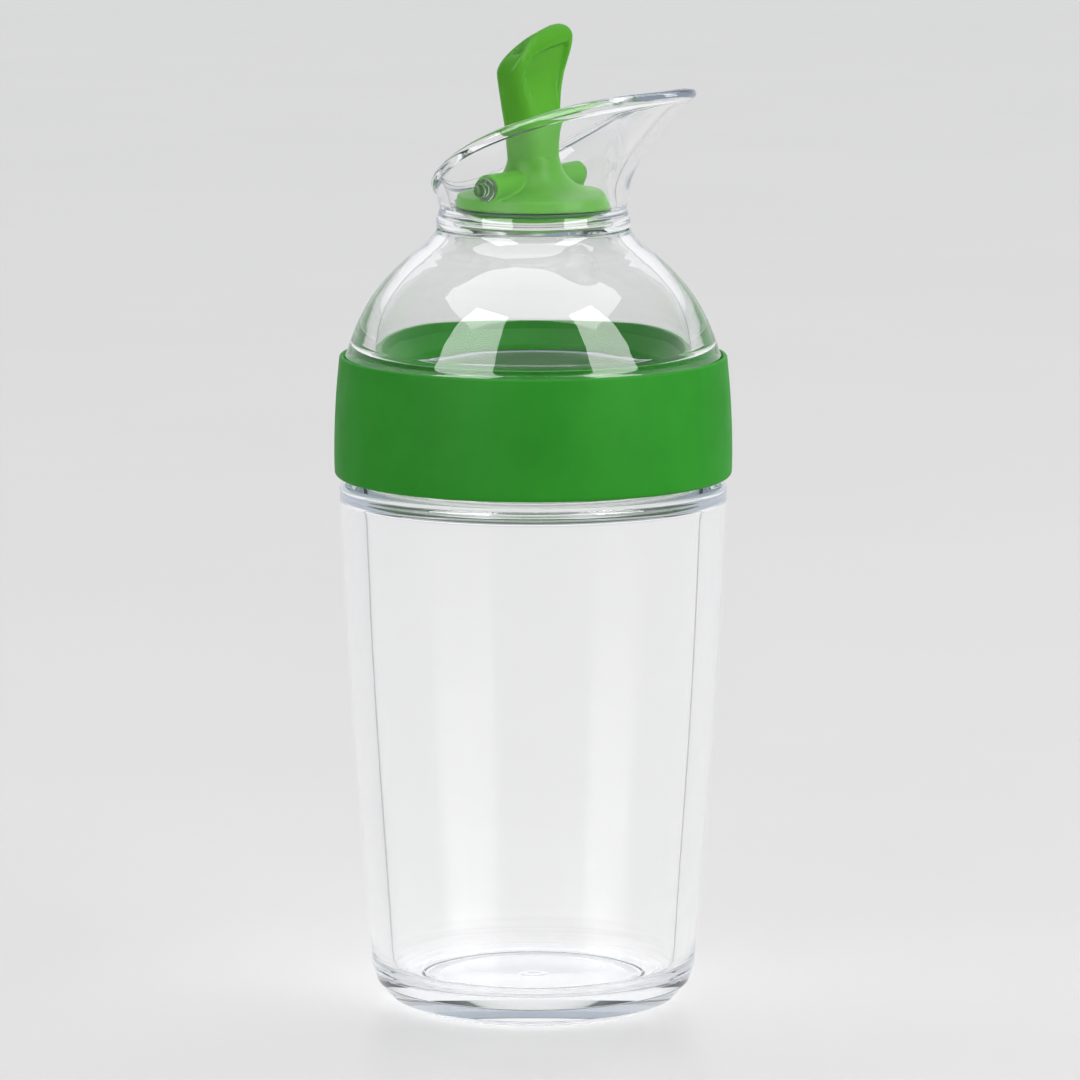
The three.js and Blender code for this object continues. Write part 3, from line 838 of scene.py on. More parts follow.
        def warp(r: np.ndarray, z: np.ndarray, theta: np.ndarray) -> np.ndarray:
            """Raises the thread on the neck's outer wall."""
            on_neck = np.abs(r - self.neck_radius) < NEAR
            return r + np.where(on_neck, thread.height(z, theta, start), 0)

        obj = turned("container_clear", self.profile(), 192, warp)
        Piece.place(obj, "container", Body.TUMBLER, Slot.CLEAR_BODY, BODY_CLEAR.build())


@dataclass
class ScrewLid:
    """The lid's seal, its hard threaded ring and the soft band round it."""

    band_radius: float = 43.0
    band_top_radius: float = 41.8
    band_bottom: float = 116.1
    band_top: float = 142.1
    band_edge: float = 1.0
    band_lip: float = 1.3
    band_lip_depth: float = 2.4
    band_top_inner: float = 40.9
    band_bulge: tuple[Point, ...] = ((-0.02, 2.5), (0.0, 5.5), (-0.12, 11.4), (-0.5, 18.4))
    gap: float = 0.3
    sleeve_radius: float = 40.45
    sleeve_inner: float = 38.65
    sleeve_bottom: float = 117.7
    web_bottom: float = 135.5
    web_top: float = 141.8
    web_inner: float = 29.6
    upstand_outer: float = 34.65
    web_roof: float = 1.8
    upstand_inner: float = 33.2
    upstand_top: float = 142.7
    funnel_top: float = 139.8
    funnel_foot: float = 134.0
    funnel_edge: float = 0.5
    pocket_rise: float = 1.2
    seal_inner: float = 31.0
    seal_outer: float = 33.6
    seal_bottom: float = 134.0
    seal_top: float = 135.2
    seal_edge: float = 0.25
    thread_root: float = 33.9
    thread_sleeve: float = 36.3
    thread_start: float = 122.5
    thread_margin: float = 0.2

    def seal(self) -> bpy.types.Object:
        """Makes the seal between the tumbler's rim and the lid."""
        inner, outer = self.seal_inner, self.seal_outer
        low, high, edge = self.seal_bottom, self.seal_top, self.seal_edge
        spots = [(inner, low, edge), (outer, low, edge), (outer, high, edge), (inner, high, edge)]
        return turned("lid_seal_ring", rounded(spots, 4, True), 160)

    def ring(self, thread: Thread) -> bpy.types.Object:
        """Makes the hard ring.

        Args:
            thread: the screw thread inside it.

        Returns:
            The ring.
        """
        low, under = self.sleeve_bottom, self.web_top - self.web_roof
        ceiling = self.web_bottom - self.pocket_rise
        nose = self.seal_inner - self.gap
        loop = rounded(
            [
                (self.thread_sleeve, low, 0.4), (self.thread_sleeve, under, 0.5),
                (self.sleeve_inner, under, 0.5), (self.sleeve_inner, low, 0.3),
                (self.sleeve_radius, low, 0.3), (self.sleeve_radius, self.web_top, 0.3),
                (self.upstand_outer, self.web_top, 0.2),
                (self.upstand_outer, self.upstand_top, 0.3), (self.upstand_inner, self.upstand_top, 0.35),
                (self.upstand_inner, self.funnel_top, 0.5),
                (self.web_inner + self.funnel_edge, self.web_bottom + self.funnel_edge, 1.2),
                (self.web_inner, self.funnel_foot, 0.25), (nose, self.funnel_foot, 0.2),
                (nose, self.web_bottom, 0.2), (self.thread_root, self.web_bottom, 0.2),
                (self.thread_root, ceiling, 0),
            ],
            6,
        )
        heights = np.arange(ceiling - THREAD_STEP, low + self.thread_margin, -THREAD_STEP)
        loop += [(self.thread_root, z) for z in heights] + [(self.thread_root, low)]

        def warp(r: np.ndarray, z: np.ndarray, theta: np.ndarray) -> np.ndarray:
            """Raises the thread on the sleeve's inner wall."""
            inside = (np.abs(r - self.thread_root) < NEAR) & (z < ceiling)
            return r - np.where(inside, thread.height(z, theta, self.thread_start), 0)

        return turned("lid_ring", loop, 192, warp)

    def band(self) -> bpy.types.Object:
        """Makes the soft band."""
        inner = self.sleeve_radius + self.gap
        lip, lip_top = inner - self.band_lip_depth, self.band_bottom + self.band_lip
        side = [(self.band_radius + out, self.band_bottom + up) for out, up in self.band_bulge]
        outer = flowing([*side, (self.band_top_radius + 0.1, self.band_top - self.band_edge)], 30)
        top = rounded(
            [
                (*outer[-1], 0), (self.band_top_radius, self.band_top, 0.55),
                (self.band_top_inner, self.band_top, 0.2), (self.band_top_inner, self.web_top, 0.2),
                (inner, self.web_top - self.gap, 0.1), (inner, lip_top, 0.3), (lip, lip_top, 0.4),
                (lip, self.band_bottom, 0.4), (self.band_radius - 0.1, self.band_bottom, self.band_edge),
                (*outer[0], 0),
            ],
            8,
        )
        return turned("grip_band", outer[:-1] + top[:-1], 192)

    def build(self, thread: Thread) -> None:
        """Makes the lid's three rings, the hard one with the thread inside it."""
        Piece.place(self.seal(), "lid_gasket", Body.SEAL, Slot.LID_SEAL, SEAL_GREEN.build())
        Piece.place(self.ring(thread), "thread_ring", Body.LID, Slot.GREEN_HARD, RING_GREEN.build())
        Piece.place(self.band(), "collar_grip", Body.LID, Slot.GREEN_SOFT, SOFT_GREEN.build())


@dataclass
class Dome:
    """The clear dome between the band and the spout."""

    bottom: float = 142.1
    radius: float = 40.6
    height: float = 27.4
    foot_inner: float = 34.6
    seat: float = 141.75
    wall: float = 2.9
    neck_radius: float = 20.9
    joint: Point = (0.05, 0.8)
    curve_shares: tuple[Point, ...] = (
        (1, 0.006), (0.98, 0.026), (0.954, 0.088), (0.909, 0.175), (0.853, 0.27), (0.782, 0.369),
        (0.711, 0.4525), (0.624, 0.5365), (0.528, 0.617), (0.457, 0.6715), (0.371, 0.73), (0.289, 0.781),
        (0.203, 0.8285), (0.127, 0.872), (0.066, 0.92), (0.02, 0.9635), (0, 0.992),
    )

    def profile(self) -> Loop:
        """Gives the dome's section, whose wall grows thicker towards its foot."""
        spread = self.radius - self.neck_radius
        outer = flowing(
            [(self.neck_radius + spread * r, self.bottom + self.height * u) for r, u in self.curve_shares], 90
        )
        rise = [(z - self.bottom) / self.height for _, z in outer]
        inner = inward(outer, [self.wall * (1 + (1 - u) ** 2) for u in rise])
        reach, floor = self.foot_inner - self.joint[0], self.bottom + self.joint[1]
        upper = [point for point in inner if point[0] < reach and point[1] > floor][:-1]
        top = self.bottom + self.height
        joint = rounded(
            [(*upper[0], 0), (self.foot_inner, self.seat, 0), (self.radius, self.seat, 0.15), (*outer[0], 0)],
            6,
        )
        bore = self.neck_radius - self.wall
        neck = rounded(
            [(*outer[-1], 0), (self.neck_radius, top, 0.15), (bore, top, 0.15), (*upper[-1], 0)],
            4,
        )
        return outer[:-1] + neck[:-1] + upper[::-1][:-1] + joint[:-1]

    def build(self, clear: bpy.types.Material) -> None:
        """Makes the dome from the lid's clear plastic."""
        Piece.place(turned("dome_clear", self.profile(), 192), "dome", Body.LID, Slot.CLEAR_LID, clear)


@dataclass
class Spout:
    """The clear pouring spout with its round seat, rolled rim and the two pins for the lever."""

    pivot: float = 179.2
    foot: float = 169.8
    flange_height: float = 1.8
    flange_radius: float = 20.9
    neck_wall: float = 2.9
    wall: float = 2.3
    edge_wall: float = 2.0
    bead: float = 1.45
    tip_bead: float = 1.15
    seat_radius: float = 18.5
    seat_drop: float = 7.7
    seat_rise: float = 3.1
    back_radius: float = 21.94
    lip_reach: float = 18.6
    lip_narrowness: int = 8
    rim_rise: float = 11.0
    rim_slope: float = 0.468
    rim_curve: float = 213.0
    foot_handle: float = 0.224
    lip_handle: float = 0.584
    lip_lean: float = 49.0
    curve_end: float = 0.965
    bead_turn: float = 112.0
    seat_chamfer: Point = (0.34, 0.85)
    even_share: float = 0.65
    pin_radius: float = 2.2
    pin_tip: float = 10.8
    pin_cap: float = 2.56
    pin_cap_ends: tuple[float, float] = (16.5, 17.3)
    pin_neck: float = 1.3
    pin_root: float = 0.8

    def lip_share(self, angle: float) -> float:
        """Gives the share of the lip's full form at an angle, in radians."""
        return max(0.0, math.cos(angle)) ** self.lip_narrowness

    def rim_radius(self, angle: float) -> float:
        """Gives how far the rim's outer edge is from the axis at an angle, in mm."""
        return self.back_radius + self.lip_reach * self.lip_share(angle)

    def rim_height(self, reach: float) -> float:
        """Gives the rim's height where it reaches that far forward, in mm."""
        return self.pivot + self.rim_rise + reach * self.rim_slope - reach**2 / self.rim_curve

    def section(self, angle: float) -> Loop:
        """Gives one upright section.

        Args:
            angle: where the section stands round the axis, in radians.

        Returns:
            A closed profile that runs up its outer side.
        """
        radius = self.rim_radius(angle)
        bead = self.bead + (self.tip_bead - self.bead) * self.lip_share(angle)
        end = np.array([radius - bead, self.rim_height(radius * math.cos(angle)) - bead])
        seat_top = self.seat_drop - self.seat_rise
        lift = math.asin(-seat_top / self.seat_radius)
        out = np.array([math.cos(lift), math.sin(lift)])
        start = out * (self.seat_radius + self.wall / 2) + np.array([0, self.pivot])
        rise = end[1] - start[1]
        lean = math.radians(self.lip_lean)
        bend = start + np.array([-out[1], out[0]]) * rise * self.foot_handle
        run = rise * self.lip_handle * math.sqrt(max(0.0, end[0] - start[0]) / self.lip_reach)
        hook = end - np.array([math.sin(lean), math.cos(lean)]) * run
        outer, inner = [], []
        for share in np.linspace(0, 1, 28):
            t = share * self.curve_end
            u = 1 - t
            at = start * u**3 + bend * 3 * u * u * t + hook * 3 * u * t * t + end * t**3
            way = (bend - start) * u * u + (hook - bend) * 2 * u * t + (end - hook) * t * t
            way /= np.linalg.norm(way)
            half = (self.wall + (self.edge_wall - self.wall) * share) / 2
            side = np.array([way[1], -way[0]]) * half
            outer.append((at[0] + side[0], at[1] + side[1]))
            inner.append((at[0] - side[0], at[1] - side[1]))
        way = end - (hook if run > 0 else bend)
        heading = math.degrees(math.atan2(way[1], way[0]))
        roll = arc(end[0], end[1], bead, heading - self.bead_turn, heading + self.bead_turn, 18)
        drops = np.linspace(seat_top, self.seat_drop, 12)[1:]
        seat = [(math.sqrt(self.seat_radius**2 - d**2), self.pivot - d) for d in drops]
        top = self.foot + self.flange_height
        widen, drop = self.seat_chamfer
        base = rounded(
            [
                (*seat[-1], 0), (seat[-1][0] + widen, seat[-1][1] - drop, 0.3),
                (self.flange_radius - self.neck_wall, self.foot, 0.25), (self.flange_radius, self.foot, 0.35),
                (self.flange_radius, top, 1.2), (*outer[0], 0),
            ],
            5,
        )
        return base[:-1] + outer + roll + inner[::-1] + seat[:-1]

    def shell(self) -> bpy.types.Object:
        """Makes the spout's shell, with more sections where the rim bends most."""
        dense = np.linspace(0, 2 * math.pi, 1441)
        rim = np.array([[self.rim_radius(a) * math.cos(a), self.rim_radius(a) * math.sin(a)] for a in dense])
        way = np.r_[0, np.cumsum(np.linalg.norm(np.diff(rim, axis=0), axis=1))]
        blend = self.even_share * way / way[-1] + (1 - self.even_share) * dense / (2 * math.pi)
        angles = np.interp(np.linspace(0, 1, 200, endpoint=False), blend, dense)
        rings = [[(r * math.cos(a), r * math.sin(a), z) for r, z in self.section(float(a))] for a in angles]
        verts = np.array(rings).reshape(-1, 3)
        return mesh_object("spout_clear", verts, ring_faces(len(rings), len(rings[0]), True))

    def pin(self, side: Side) -> bpy.types.Object:
        """Makes one pin, whose root is sunk in the wall that carries it.

        Args:
            side: which wall it stands on.

        Returns:
            The pin, along Y.
        """
        end = self.seat_radius + self.pin_root
        near, far = self.pin_cap_ends
        loop = rounded(
            [
                (0, self.pin_tip, 0), (self.pin_radius, self.pin_tip, 0.45), (self.pin_radius, near, 0.1),
                (self.pin_cap, near, 0.1), (self.pin_cap, far, 0.35), (self.pin_neck, far, 0.3),
                (self.pin_neck, end, 0), (0, end, 0),
            ],
            5,
        )
        obj = turned("pin_" + side.name.lower(), loop, 64)
        turn = Matrix.Rotation(math.radians(-90 * side.value), 4, "X")
        obj.data.transform(Matrix.Translation((0, 0, self.pivot * MM)) @ turn)
        return obj

    def build(self, clear: bpy.types.Material) -> None:
        """Makes the spout and its pins from the lid's clear plastic."""
        Piece.place(self.shell(), "pour_spout", Body.LID, Slot.CLEAR_LID, clear)
        for side in Side:
            node = "pivot_pin_" + side.name.lower()
            Piece.place(self.pin(side), node, Body.LID, Slot.CLEAR_LID, clear)


@dataclass
class StopperLever:
    """The lever with its thumb paddle, cone, disc and bosses, and the seal and plug under it."""

    pivot: float = 179.2
    height: float = 32.3
    disc_radius: float = 16.9
    disc_top_radius: float = 16.25
    disc_drop: float = 4.8
    disc_rim: float = 2.4
    boss_radius: float = 3.2
    boss_length: float = 16.2
    bore: float = 2.55
    bore_end: float = 10.5
    side_slope: float = 0.281
    side_curve: float = 61.0
    front_slope: float = 0.15
    left_corner: float = 4.3
    right_corner: float = 2.9
    corner_reach: float = 9.0
    least_flat: float = 0.05
    slope_start: float = 10.0
    slope_ease: float = 1.2
    top_close: float = 0.86
    recess: float = 0.95
    panel_front: Point = (0.3, 0.12)
    panel_left: Corner = (1.7, 7.7, 2.4)
    panel_right: Corner = (1.8, 8.6, 0.9)
    panel_foot: Point = (13.5, 8.0)
    stem: tuple[tuple[float, float, float, float, float], ...] = (
        (-1.0, 9.8, 5.3, 5.3, 0.0), (3.0, 9.6, 5.35, 5.35, -0.05), (6.8, 9.4, 5.5, 5.5, -0.2),
        (9.8, 9.2, 5.7, 5.7, -0.33), (12.8, 8.8, 6.25, 6.3, -0.38), (14.3, 8.6, 6.5, 6.6, -0.5),
        (17.3, 8.0, 7.1, 7.4, -0.78), (20.3, 7.4, 7.9, 8.3, -0.93), (23.3, 6.9, 8.8, 9.35, -0.89),
        (24.8, 6.7, 9.2, 9.9, -0.68), (26.3, 6.4, 9.5, 10.3, -0.29), (27.8, 6.3, 9.75, 10.8, -0.03),
        (29.3, 6.2, 9.9, 11.05, 0.24), (30.8, 6.1, 10.0, 11.1, 0.45), (34.5, 6.1, 10.0, 11.1, 0.6),
    )
    corners: tuple[Point, ...] = ((-1.0, 4.6), (2.3, 4.4), (10.3, 3.6), (16.3, 2.8), (24.3, 2.3), (32.3, 2.2))
    panel_top: tuple[Point, ...] = (
        (-7.5, 23.9), (-5.8, 26.3), (-2.6, 28.3), (1.1, 29.5), (6.7, 30.2), (9.0, 30.3),
    )
    cone: tuple[Point, ...] = (
        (15.6, -2.27), (15, -2.1), (13, -1.7), (11, -1.1), (9.3, -0.3), (8.2, 0.45), (7.1, 1.5),
        (6.2, 2.9), (5.7, 4.3), (5.4, 5.7),
    )
    fuse_cell: float = 0.24
    fuse_rounds: int = 5
    seal_radius: float = 17.0
    seal_inner: float = 6.3
    seal_drops: Point = (0.3, 1.4)
    plate_radius: float = 15.4
    plate_drops: Point = (1.7, 3.1)
    hub_radius: float = 6.0
    post_radius: float = 2.5
    post_rise: float = 3.7

    def stem_rows(self) -> np.ndarray:
        """Gives smooth rows of height, depth, left and right half-width and centre, from the stem's table."""
        table = np.array(self.stem)
        heights = np.linspace(table[0, 0], table[-1, 0], 240)
        rows = [heights]
        for k in range(1, table.shape[1]):
            line = np.array(flowing([(row[0], row[k]) for row in self.stem], 300))
            rows.append(np.interp(heights, line[:, 0], line[:, 1]))
        return np.array(rows)

    def section(self, rows: np.ndarray, height: float, slant: float, turn: float) -> np.ndarray:
        """Gives one rounded section of the stem or paddle.

        Args:
            rows: the stem's smooth rows.
            height: its height over the pivot in the middle, in mm.
            slant: share of the top's full slope.
            turn: how far the section has turned over the top edge, in radians.

        Returns:
            Its points, in mm, with heights over the pivot.
        """
        quarter = np.linspace(0, math.pi / 2, 13)
        flat = np.linspace(0, 1, 34)[1:-1]
        spots = []
        for sx, sy, start in ((1, 1, 0), (-1, 1, 1), (-1, -1, 2), (1, -1, 3)):
            spots += [(sx, sy, a + start * math.pi / 2, 0.0) for a in quarter]
            spots += [(sx, sy, None, f) for f in (flat[::3] if sx == sy else flat)]
        up = np.full(len(spots), height)
        points = np.zeros((len(spots), 3))
        for _ in range(3):
            depth, left, right = (np.interp(up, rows[0], rows[k]) for k in (1, 2, 3))
            corner = np.interp(up, *zip(*self.corners))
            for i, (sx, sy, angle, share) in enumerate(spots):
                half = right[i] if sy > 0 else left[i]
                radius = min(corner[i], depth[i] / 2 - self.least_flat, half - self.least_flat)
                if angle is not None:
                    points[i, 0] = sx * (depth[i] / 2 - radius) + radius * math.cos(angle)
                    points[i, 1] = sy * (half - radius) + radius * math.sin(angle)
                elif sx == sy:
                    points[i, :2] = sy * (depth[i] / 2 - radius) * (1 - 2 * share), sy * half
                else:
                    low, high = radius - left[i], right[i] - radius
                    points[i, :2] = sx * depth[i] / 2, low + (high - low) * (share if sx > 0 else 1 - share)
            x, y = points[:, 0], points[:, 1]
            lift = x * self.front_slope + y * self.side_slope - y**2 / self.side_curve
            reach = (-self.corner_reach, self.corner_reach)
            edge = np.interp(y, reach, (self.left_corner, self.right_corner))
            middle = (self.left_corner + self.right_corner) / 2
            up = height + (lift - (edge - middle)) * slant
        inset = 1 - math.cos(turn)
        pressed = self.press(points, up + edge * math.sin(turn), depth, left, right)
        deep = np.clip(np.abs(x) / (depth / 2), 0, 1)
        wide = np.clip(np.abs(y) / np.where(y > 0, right, left), 0, 1)
        points[:, 0] -= np.sign(x) * np.minimum(np.abs(x), edge) * inset * deep * self.top_close
        points[:, 1] -= np.sign(y) * edge * inset * wide**2
        points[:, 2] = up + edge * math.sin(turn)
        points[:, 0] += np.interp(points[:, 2], rows[0], rows[4]) - pressed
        return points

    def press(
        self, points: np.ndarray, up: np.ndarray, depth: np.ndarray, left: np.ndarray, right: np.ndarray
    ) -> np.ndarray:
        """Gives how deep the shallow panel on the pouring side is at each point.

        Args:
            points: the section's points, square to the stem.
            up: their heights over the pivot.
            depth: the section's depth at each point.
            left: its left half-width.
            right: its right half-width.

        Returns:
            The depth to take off, in mm.
        """
        x, y = points[:, 0], points[:, 1]
        from_share, over_share = self.panel_front
        front = np.clip((x - depth * from_share) / (depth * over_share), 0, 1)
        left_border, left_reach, left_slope = self.panel_left
        right_border, right_reach, right_slope = self.panel_right
        foot, foot_slope = self.panel_foot
        sides = (
            np.clip((np.minimum(right - right_border, right_reach) - y) / right_slope, 0, 1),
            np.clip((y + np.minimum(left - left_border, left_reach)) / left_slope, 0, 1),
            np.clip(np.interp(y, *zip(*self.panel_top)) - up, 0, 1),
            np.clip((up - foot) / foot_slope, 0, 1),
        )
        depth_here = self.recess * front
        for share in sides:
            depth_here = depth_here * share * share * (3 - 2 * share)
        return depth_here

    def stalk(self) -> bpy.types.Object:
        """Makes the stem and paddle."""
        rows = self.stem_rows()
        body = self.height - (self.left_corner + self.right_corner) / 2
        rings = []
        for h in np.linspace(self.stem[0][0], body, 96):
            share = np.clip((h - self.slope_start) / (body - self.slope_start), 0, 1)
            rings.append(self.section(rows, float(h), float(share) ** self.slope_ease, 0.0))
        for turn in np.radians(np.linspace(6, 86, 16)):
            rings.append(self.section(rows, body, 1.0, float(turn)))
        verts = np.vstack(rings)
        verts[:, 2] += self.pivot
        width = len(rings[0])
        faces = [tuple(reversed(f)) for f in ring_faces(len(rings), width, False)]
        last = (len(rings) - 1) * width
        faces.append(tuple(reversed(range(width))))
        faces.append(tuple(range(last, last + width)))
        return mesh_object("stalk", verts, faces)

    def disc(self) -> bpy.types.Object:
        """Makes the round disc and the cone that rises from it."""
        under = -self.disc_drop
        rim = under + self.disc_rim
        cone = flowing(self.cone, 40)
        radius, top = self.disc_radius, self.disc_top_radius
        edge = rounded([(0, under, 0), (radius, under, 0.35), (top, rim, 0.4), (*cone[0], 0)], 5)
        loop = edge[:-1] + cone + [(0, cone[-1][1])]
        return turned("disc", [(r, z + self.pivot) for r, z in loop], 160)

    def bar(self, name: str, radius: float, start: float, stop: float) -> bpy.types.Object:
        """Makes a round bar along Y through the pivot.

        Args:
            name: the object's name.
            radius: the bar's radius, in mm.
            start: its first end, in mm.
            stop: its last end, in mm.

        Returns:
            The bar.
        """
        loop = rounded([(0, start, 0), (radius, start, 0.3), (radius, stop, 0.3), (0, stop, 0)], 4)
        obj = turned(name, loop, 64)
        turn = Matrix.Rotation(math.radians(-90), 4, "X")
        obj.data.transform(Matrix.Translation((0, 0, self.pivot * MM)) @ turn)
        return obj

    def lever(self) -> bpy.types.Object:
        """Makes the whole lever in one moulding, with the bores for the pins."""
        boss = self.bar("boss", self.boss_radius, -self.boss_length, self.boss_length)
        parts = joined("lever_moulding", [self.stalk(), self.disc(), boss])
        whole = fused(parts, self.fuse_cell, self.fuse_rounds)
        reach = self.disc_radius + 1
        cutters = [
            self.bar("bore_left", self.bore, -reach, -self.bore_end),
            self.bar("bore_right", self.bore, self.bore_end, reach),
        ]
        return carved(whole, cutters)

    def build(self) -> None:
        """Makes the lever, its seal and its plug."""
        green = LEVER_GREEN.build()
        Piece.place(self.lever(), "lever", Body.STOPPER, Slot.GREEN_LEVER, green)
        under = self.pivot - self.disc_drop
        roof, low = (under - drop for drop in self.seal_drops)
        inner, outer = self.seal_inner, self.seal_radius
        spots = [(inner, low, 0.1), (outer, low, 0.4), (outer, roof, 0.4), (inner, roof, 0.1)]
        seal = turned("stopper_seal", rounded(spots, 5, True), 128)
        Piece.place(seal, "stopper_gasket", Body.STOPPER, Slot.STOPPER_SEAL, SEAL_GREEN.build())
        high, low = (under - drop for drop in self.plate_drops)
        post = under + self.post_rise
        plate = rounded(
            [
                (0, low, 0), (self.plate_radius, low, 0.45), (self.plate_radius, high, 0.35),
                (self.hub_radius, high, 0.1), (self.hub_radius, roof, 0.1), (self.post_radius, roof, 0.1),
                (self.post_radius, post, 0.2), (0, post, 0),
            ],
            5,
        )
        plug = turned("stopper_plate", plate, 128)
        Piece.place(plug, "stopper_plug", Body.STOPPER, Slot.GREEN_LEVER, green)


# The studio


@dataclass(frozen=True)
class Softbox:
    """A flat soft lamp, placed by its turn from the camera's side round the object, in degrees and metres."""

    name: str
    turn: float
    distance: float
    width: float
    low: float
    high: float
    glare: float
    tint: Colour = (1.0, 1.0, 1.0)
    mirrored: bool = True


@dataclass(frozen=True)
class Ceiling:
    """A level soft lamp over the object that only shows as a reflection, in metres."""

    width: float = 2.6
    depth: float = 1.3
    height: float = 1.76
    forward: float = 0.4
    glare: float = 4.0


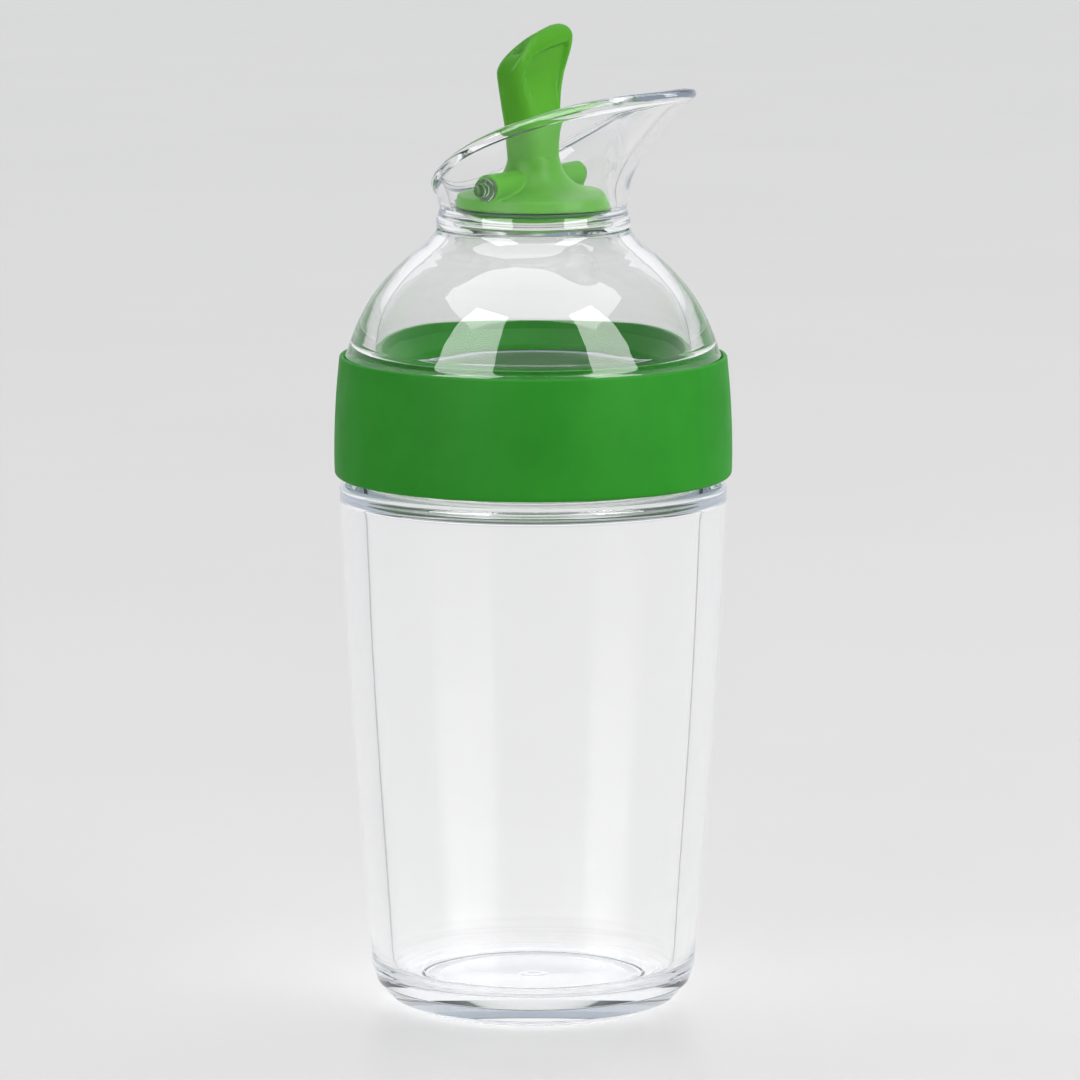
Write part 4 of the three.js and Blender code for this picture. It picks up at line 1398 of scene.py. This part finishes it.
@dataclass
class Studio:
    """Floor, lamps, surroundings and camera. The camera's sizes are in mm."""

    distance: float = 1500.0
    eye_height: float = 335.5
    azimuth: float = 36.0
    aim_height: float = 101.6
    aim_side: float = 1.45
    lens: float = 233.7
    sensor: float = 36.0
    sight: Point = (0.05, 60.0)
    sun_power: float = 0.35
    sun_spread: float = 60.0
    sun_back: float = 0.35
    sun_right: float = 0.4
    sky_tilt: float = 28.0
    sky_stops: tuple[tuple[float, Colour], ...] = (
        (0.0, (0.2, 0.204, 0.21)), (0.4, (0.22, 0.2222, 0.2266)), (0.6, (0.38, 0.3838, 0.3914)),
        (0.8, (0.74, 0.7474, 0.7622)), (0.9, (0.94, 0.9494, 0.9682)), (1.0, (0.95, 0.95, 0.96)),
    )
    floor_size: float = 30000.0
    floor_drop: float = 0.05
    floor_tones: tuple[Colour, Colour] = ((0.7, 0.695, 0.69), (0.75, 0.745, 0.74))
    ceiling: Ceiling = Ceiling()
    lamps: tuple[Softbox, ...] = (
        Softbox("window_left", -45, 1.2, 0.85, 0.26, 2.3, 8.0),
        Softbox("window_right", 53, 1.2, 0.66, 0.26, 2.3, 8.5, (1.0, 0.995, 0.985)),
        Softbox("key_right", 64, 1.6, 1.4, 0.4, 1.7, 4.4, (1.0, 0.985, 0.96), mirrored=False),
        Softbox("fill_left", -40, 1.6, 1.4, 0.3, 1.5, 1.7, (0.97, 0.99, 1.0), mirrored=False),
    )

    def sides(self) -> tuple[Vector, Vector]:
        """Gives the level directions from the object towards the camera and to its right."""
        a = math.radians(self.azimuth)
        return Vector((math.sin(a), -math.cos(a), 0)), Vector((math.cos(a), math.sin(a), 0))

    def camera(self) -> None:
        """Puts the camera where the photograph was taken from."""
        back, right = self.sides()
        data = bpy.data.cameras.new("camera")
        data.lens, data.sensor_width = self.lens, self.sensor
        data.clip_start, data.clip_end = self.sight
        obj = placed("camera", data)
        obj.location = (back * self.distance + Vector((0, 0, self.eye_height))) * MM
        aim = (right * self.aim_side + Vector((0, 0, self.aim_height))) * MM
        obj.rotation_euler = (aim - obj.location).to_track_quat("-Z", "Y").to_euler()
        bpy.context.scene.camera = obj

    @staticmethod
    def area(name: str, width: float, height: float, glare: float) -> bpy.types.Object:
        """Makes a soft lamp that is out of sight and doesn't show through clear pieces.

        Args:
            name: the lamp's name.
            width: its width, in metres.
            height: its height, in metres.
            glare: how bright its face is.

        Returns:
            The lamp.
        """
        data = bpy.data.lights.new(name, "AREA")
        data.shape = "RECTANGLE"
        data.size, data.size_y = width, height
        data.energy = glare * math.pi * width * height
        obj = placed(name, data)
        obj.visible_camera = obj.visible_transmission = False
        return obj

    def lamp(self, box: Softbox) -> None:
        """Stands one soft lamp upright beside the object.

        Args:
            box: where it stands and how bright it is.
        """
        back, right = self.sides()
        turn = math.radians(box.turn)
        way = back * math.cos(turn) + right * math.sin(turn)
        obj = self.area(box.name, box.width, box.high - box.low, box.glare)
        obj.data.color = box.tint
        obj.location = Vector((0, 0, (box.low + box.high) / 2)) + way * box.distance
        obj.rotation_euler = (-way).to_track_quat("-Z", "Y").to_euler()
        obj.visible_diffuse = not box.mirrored
        obj.visible_glossy = box.mirrored

    def overhead(self) -> None:
        """Hangs the level lamp over the object."""
        back, _ = self.sides()
        panel = self.ceiling
        obj = self.area("overhead", panel.width, panel.depth, panel.glare)
        obj.location = Vector((0, 0, panel.height)) + back * panel.forward
        obj.rotation_euler = (0, 0, math.radians(self.azimuth))
        obj.visible_diffuse = False

    def sun(self) -> None:
        """Adds an even, soft light from above and a little behind."""
        back, right = self.sides()
        data = bpy.data.lights.new("daylight", "SUN")
        data.energy, data.angle = self.sun_power, math.radians(self.sun_spread)
        obj = placed("daylight", data)
        way = Vector((0, 0, 1)) - back * self.sun_back + right * self.sun_right
        obj.rotation_euler = (-way).to_track_quat("-Z", "Y").to_euler()
        obj.visible_glossy = obj.visible_transmission = False

    def world(self) -> None:
        """Fills the surroundings with soft light that is bright behind the object and dark before it."""
        world = bpy.data.worlds.new("surroundings")
        bpy.context.scene.world = world
        graph = Graph(world)
        back, _ = self.sides()
        tilt = math.radians(self.sky_tilt)
        away = graph.add("VectorMath", operation="DOT_PRODUCT")
        away.inputs[1].default_value = -back * math.cos(tilt) + Vector((0, 0, math.sin(tilt)))
        graph.link(graph.add("TexCoord").outputs["Generated"], away.inputs[0])
        (first, dark), *middle, (last, bright) = self.sky_stops
        span = graph.span(away.outputs["Value"], (-1.0, 1.0))
        tone = graph.toned(span, dark, bright, (first, last))
        for position, colour in middle:
            tone.node.color_ramp.elements.new(position).color = (*colour, 1)
        light = graph.add("Background", Strength=1.0)
        graph.link(tone, light.inputs["Color"])
        graph.finish(light.outputs["Background"], kind="World")

    def floor(self) -> None:
        """Lays a plain pale floor with a faint polish."""
        size = self.floor_size
        verts = np.array([(-size, -size, 0), (size, -size, 0), (size, size, 0), (-size, size, 0)])
        obj = mesh_object("floor", verts, [(0, 1, 2, 3)])
        obj.location.z = -self.floor_drop * MM
        material = bpy.data.materials.new("floor_pale")
        graph = Graph(material)
        stone = graph.add("BsdfPrincipled", Roughness=0.22, Specular_IOR_Level=0.25)
        graph.link(graph.toned(graph.noise(160.0, 3.0), *self.floor_tones), stone.inputs["Base Color"])
        graph.finish(stone.outputs["BSDF"])
        obj.data.materials.append(material)

    def light_paths(self) -> None:
        """Lets light pass the many walls of the clear pieces, and keeps the colours plain."""
        scene = bpy.context.scene
        scene.view_settings.view_transform = "Standard"
        scene.view_settings.look = "None"
        cycles = scene.cycles
        cycles.max_bounces = cycles.transmission_bounces = cycles.transparent_max_bounces = 32
        cycles.glossy_bounces = 12
        cycles.diffuse_bounces = 4
        cycles.caustics_reflective = False
        cycles.caustics_refractive = True
        cycles.sample_clamp_indirect = 5.0

    def build(self) -> None:
        """Sets up the whole studio."""
        self.camera()
        self.world()
        self.floor()
        for box in self.lamps:
            self.lamp(box)
        self.overhead()
        self.sun()
        self.light_paths()


def main() -> None:
    """Builds the studio and every piece."""
    logging.basicConfig(level=logging.INFO, format="%(name)s %(message)s")
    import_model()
    Studio().build()
    thread = Thread()
    Tumbler().build(thread)
    ScrewLid().build(thread)
    clear = LID_CLEAR.build()
    Dome().build(clear)
    Spout().build(clear)
    StopperLever().build()


if __name__ == "__main__":
    main()
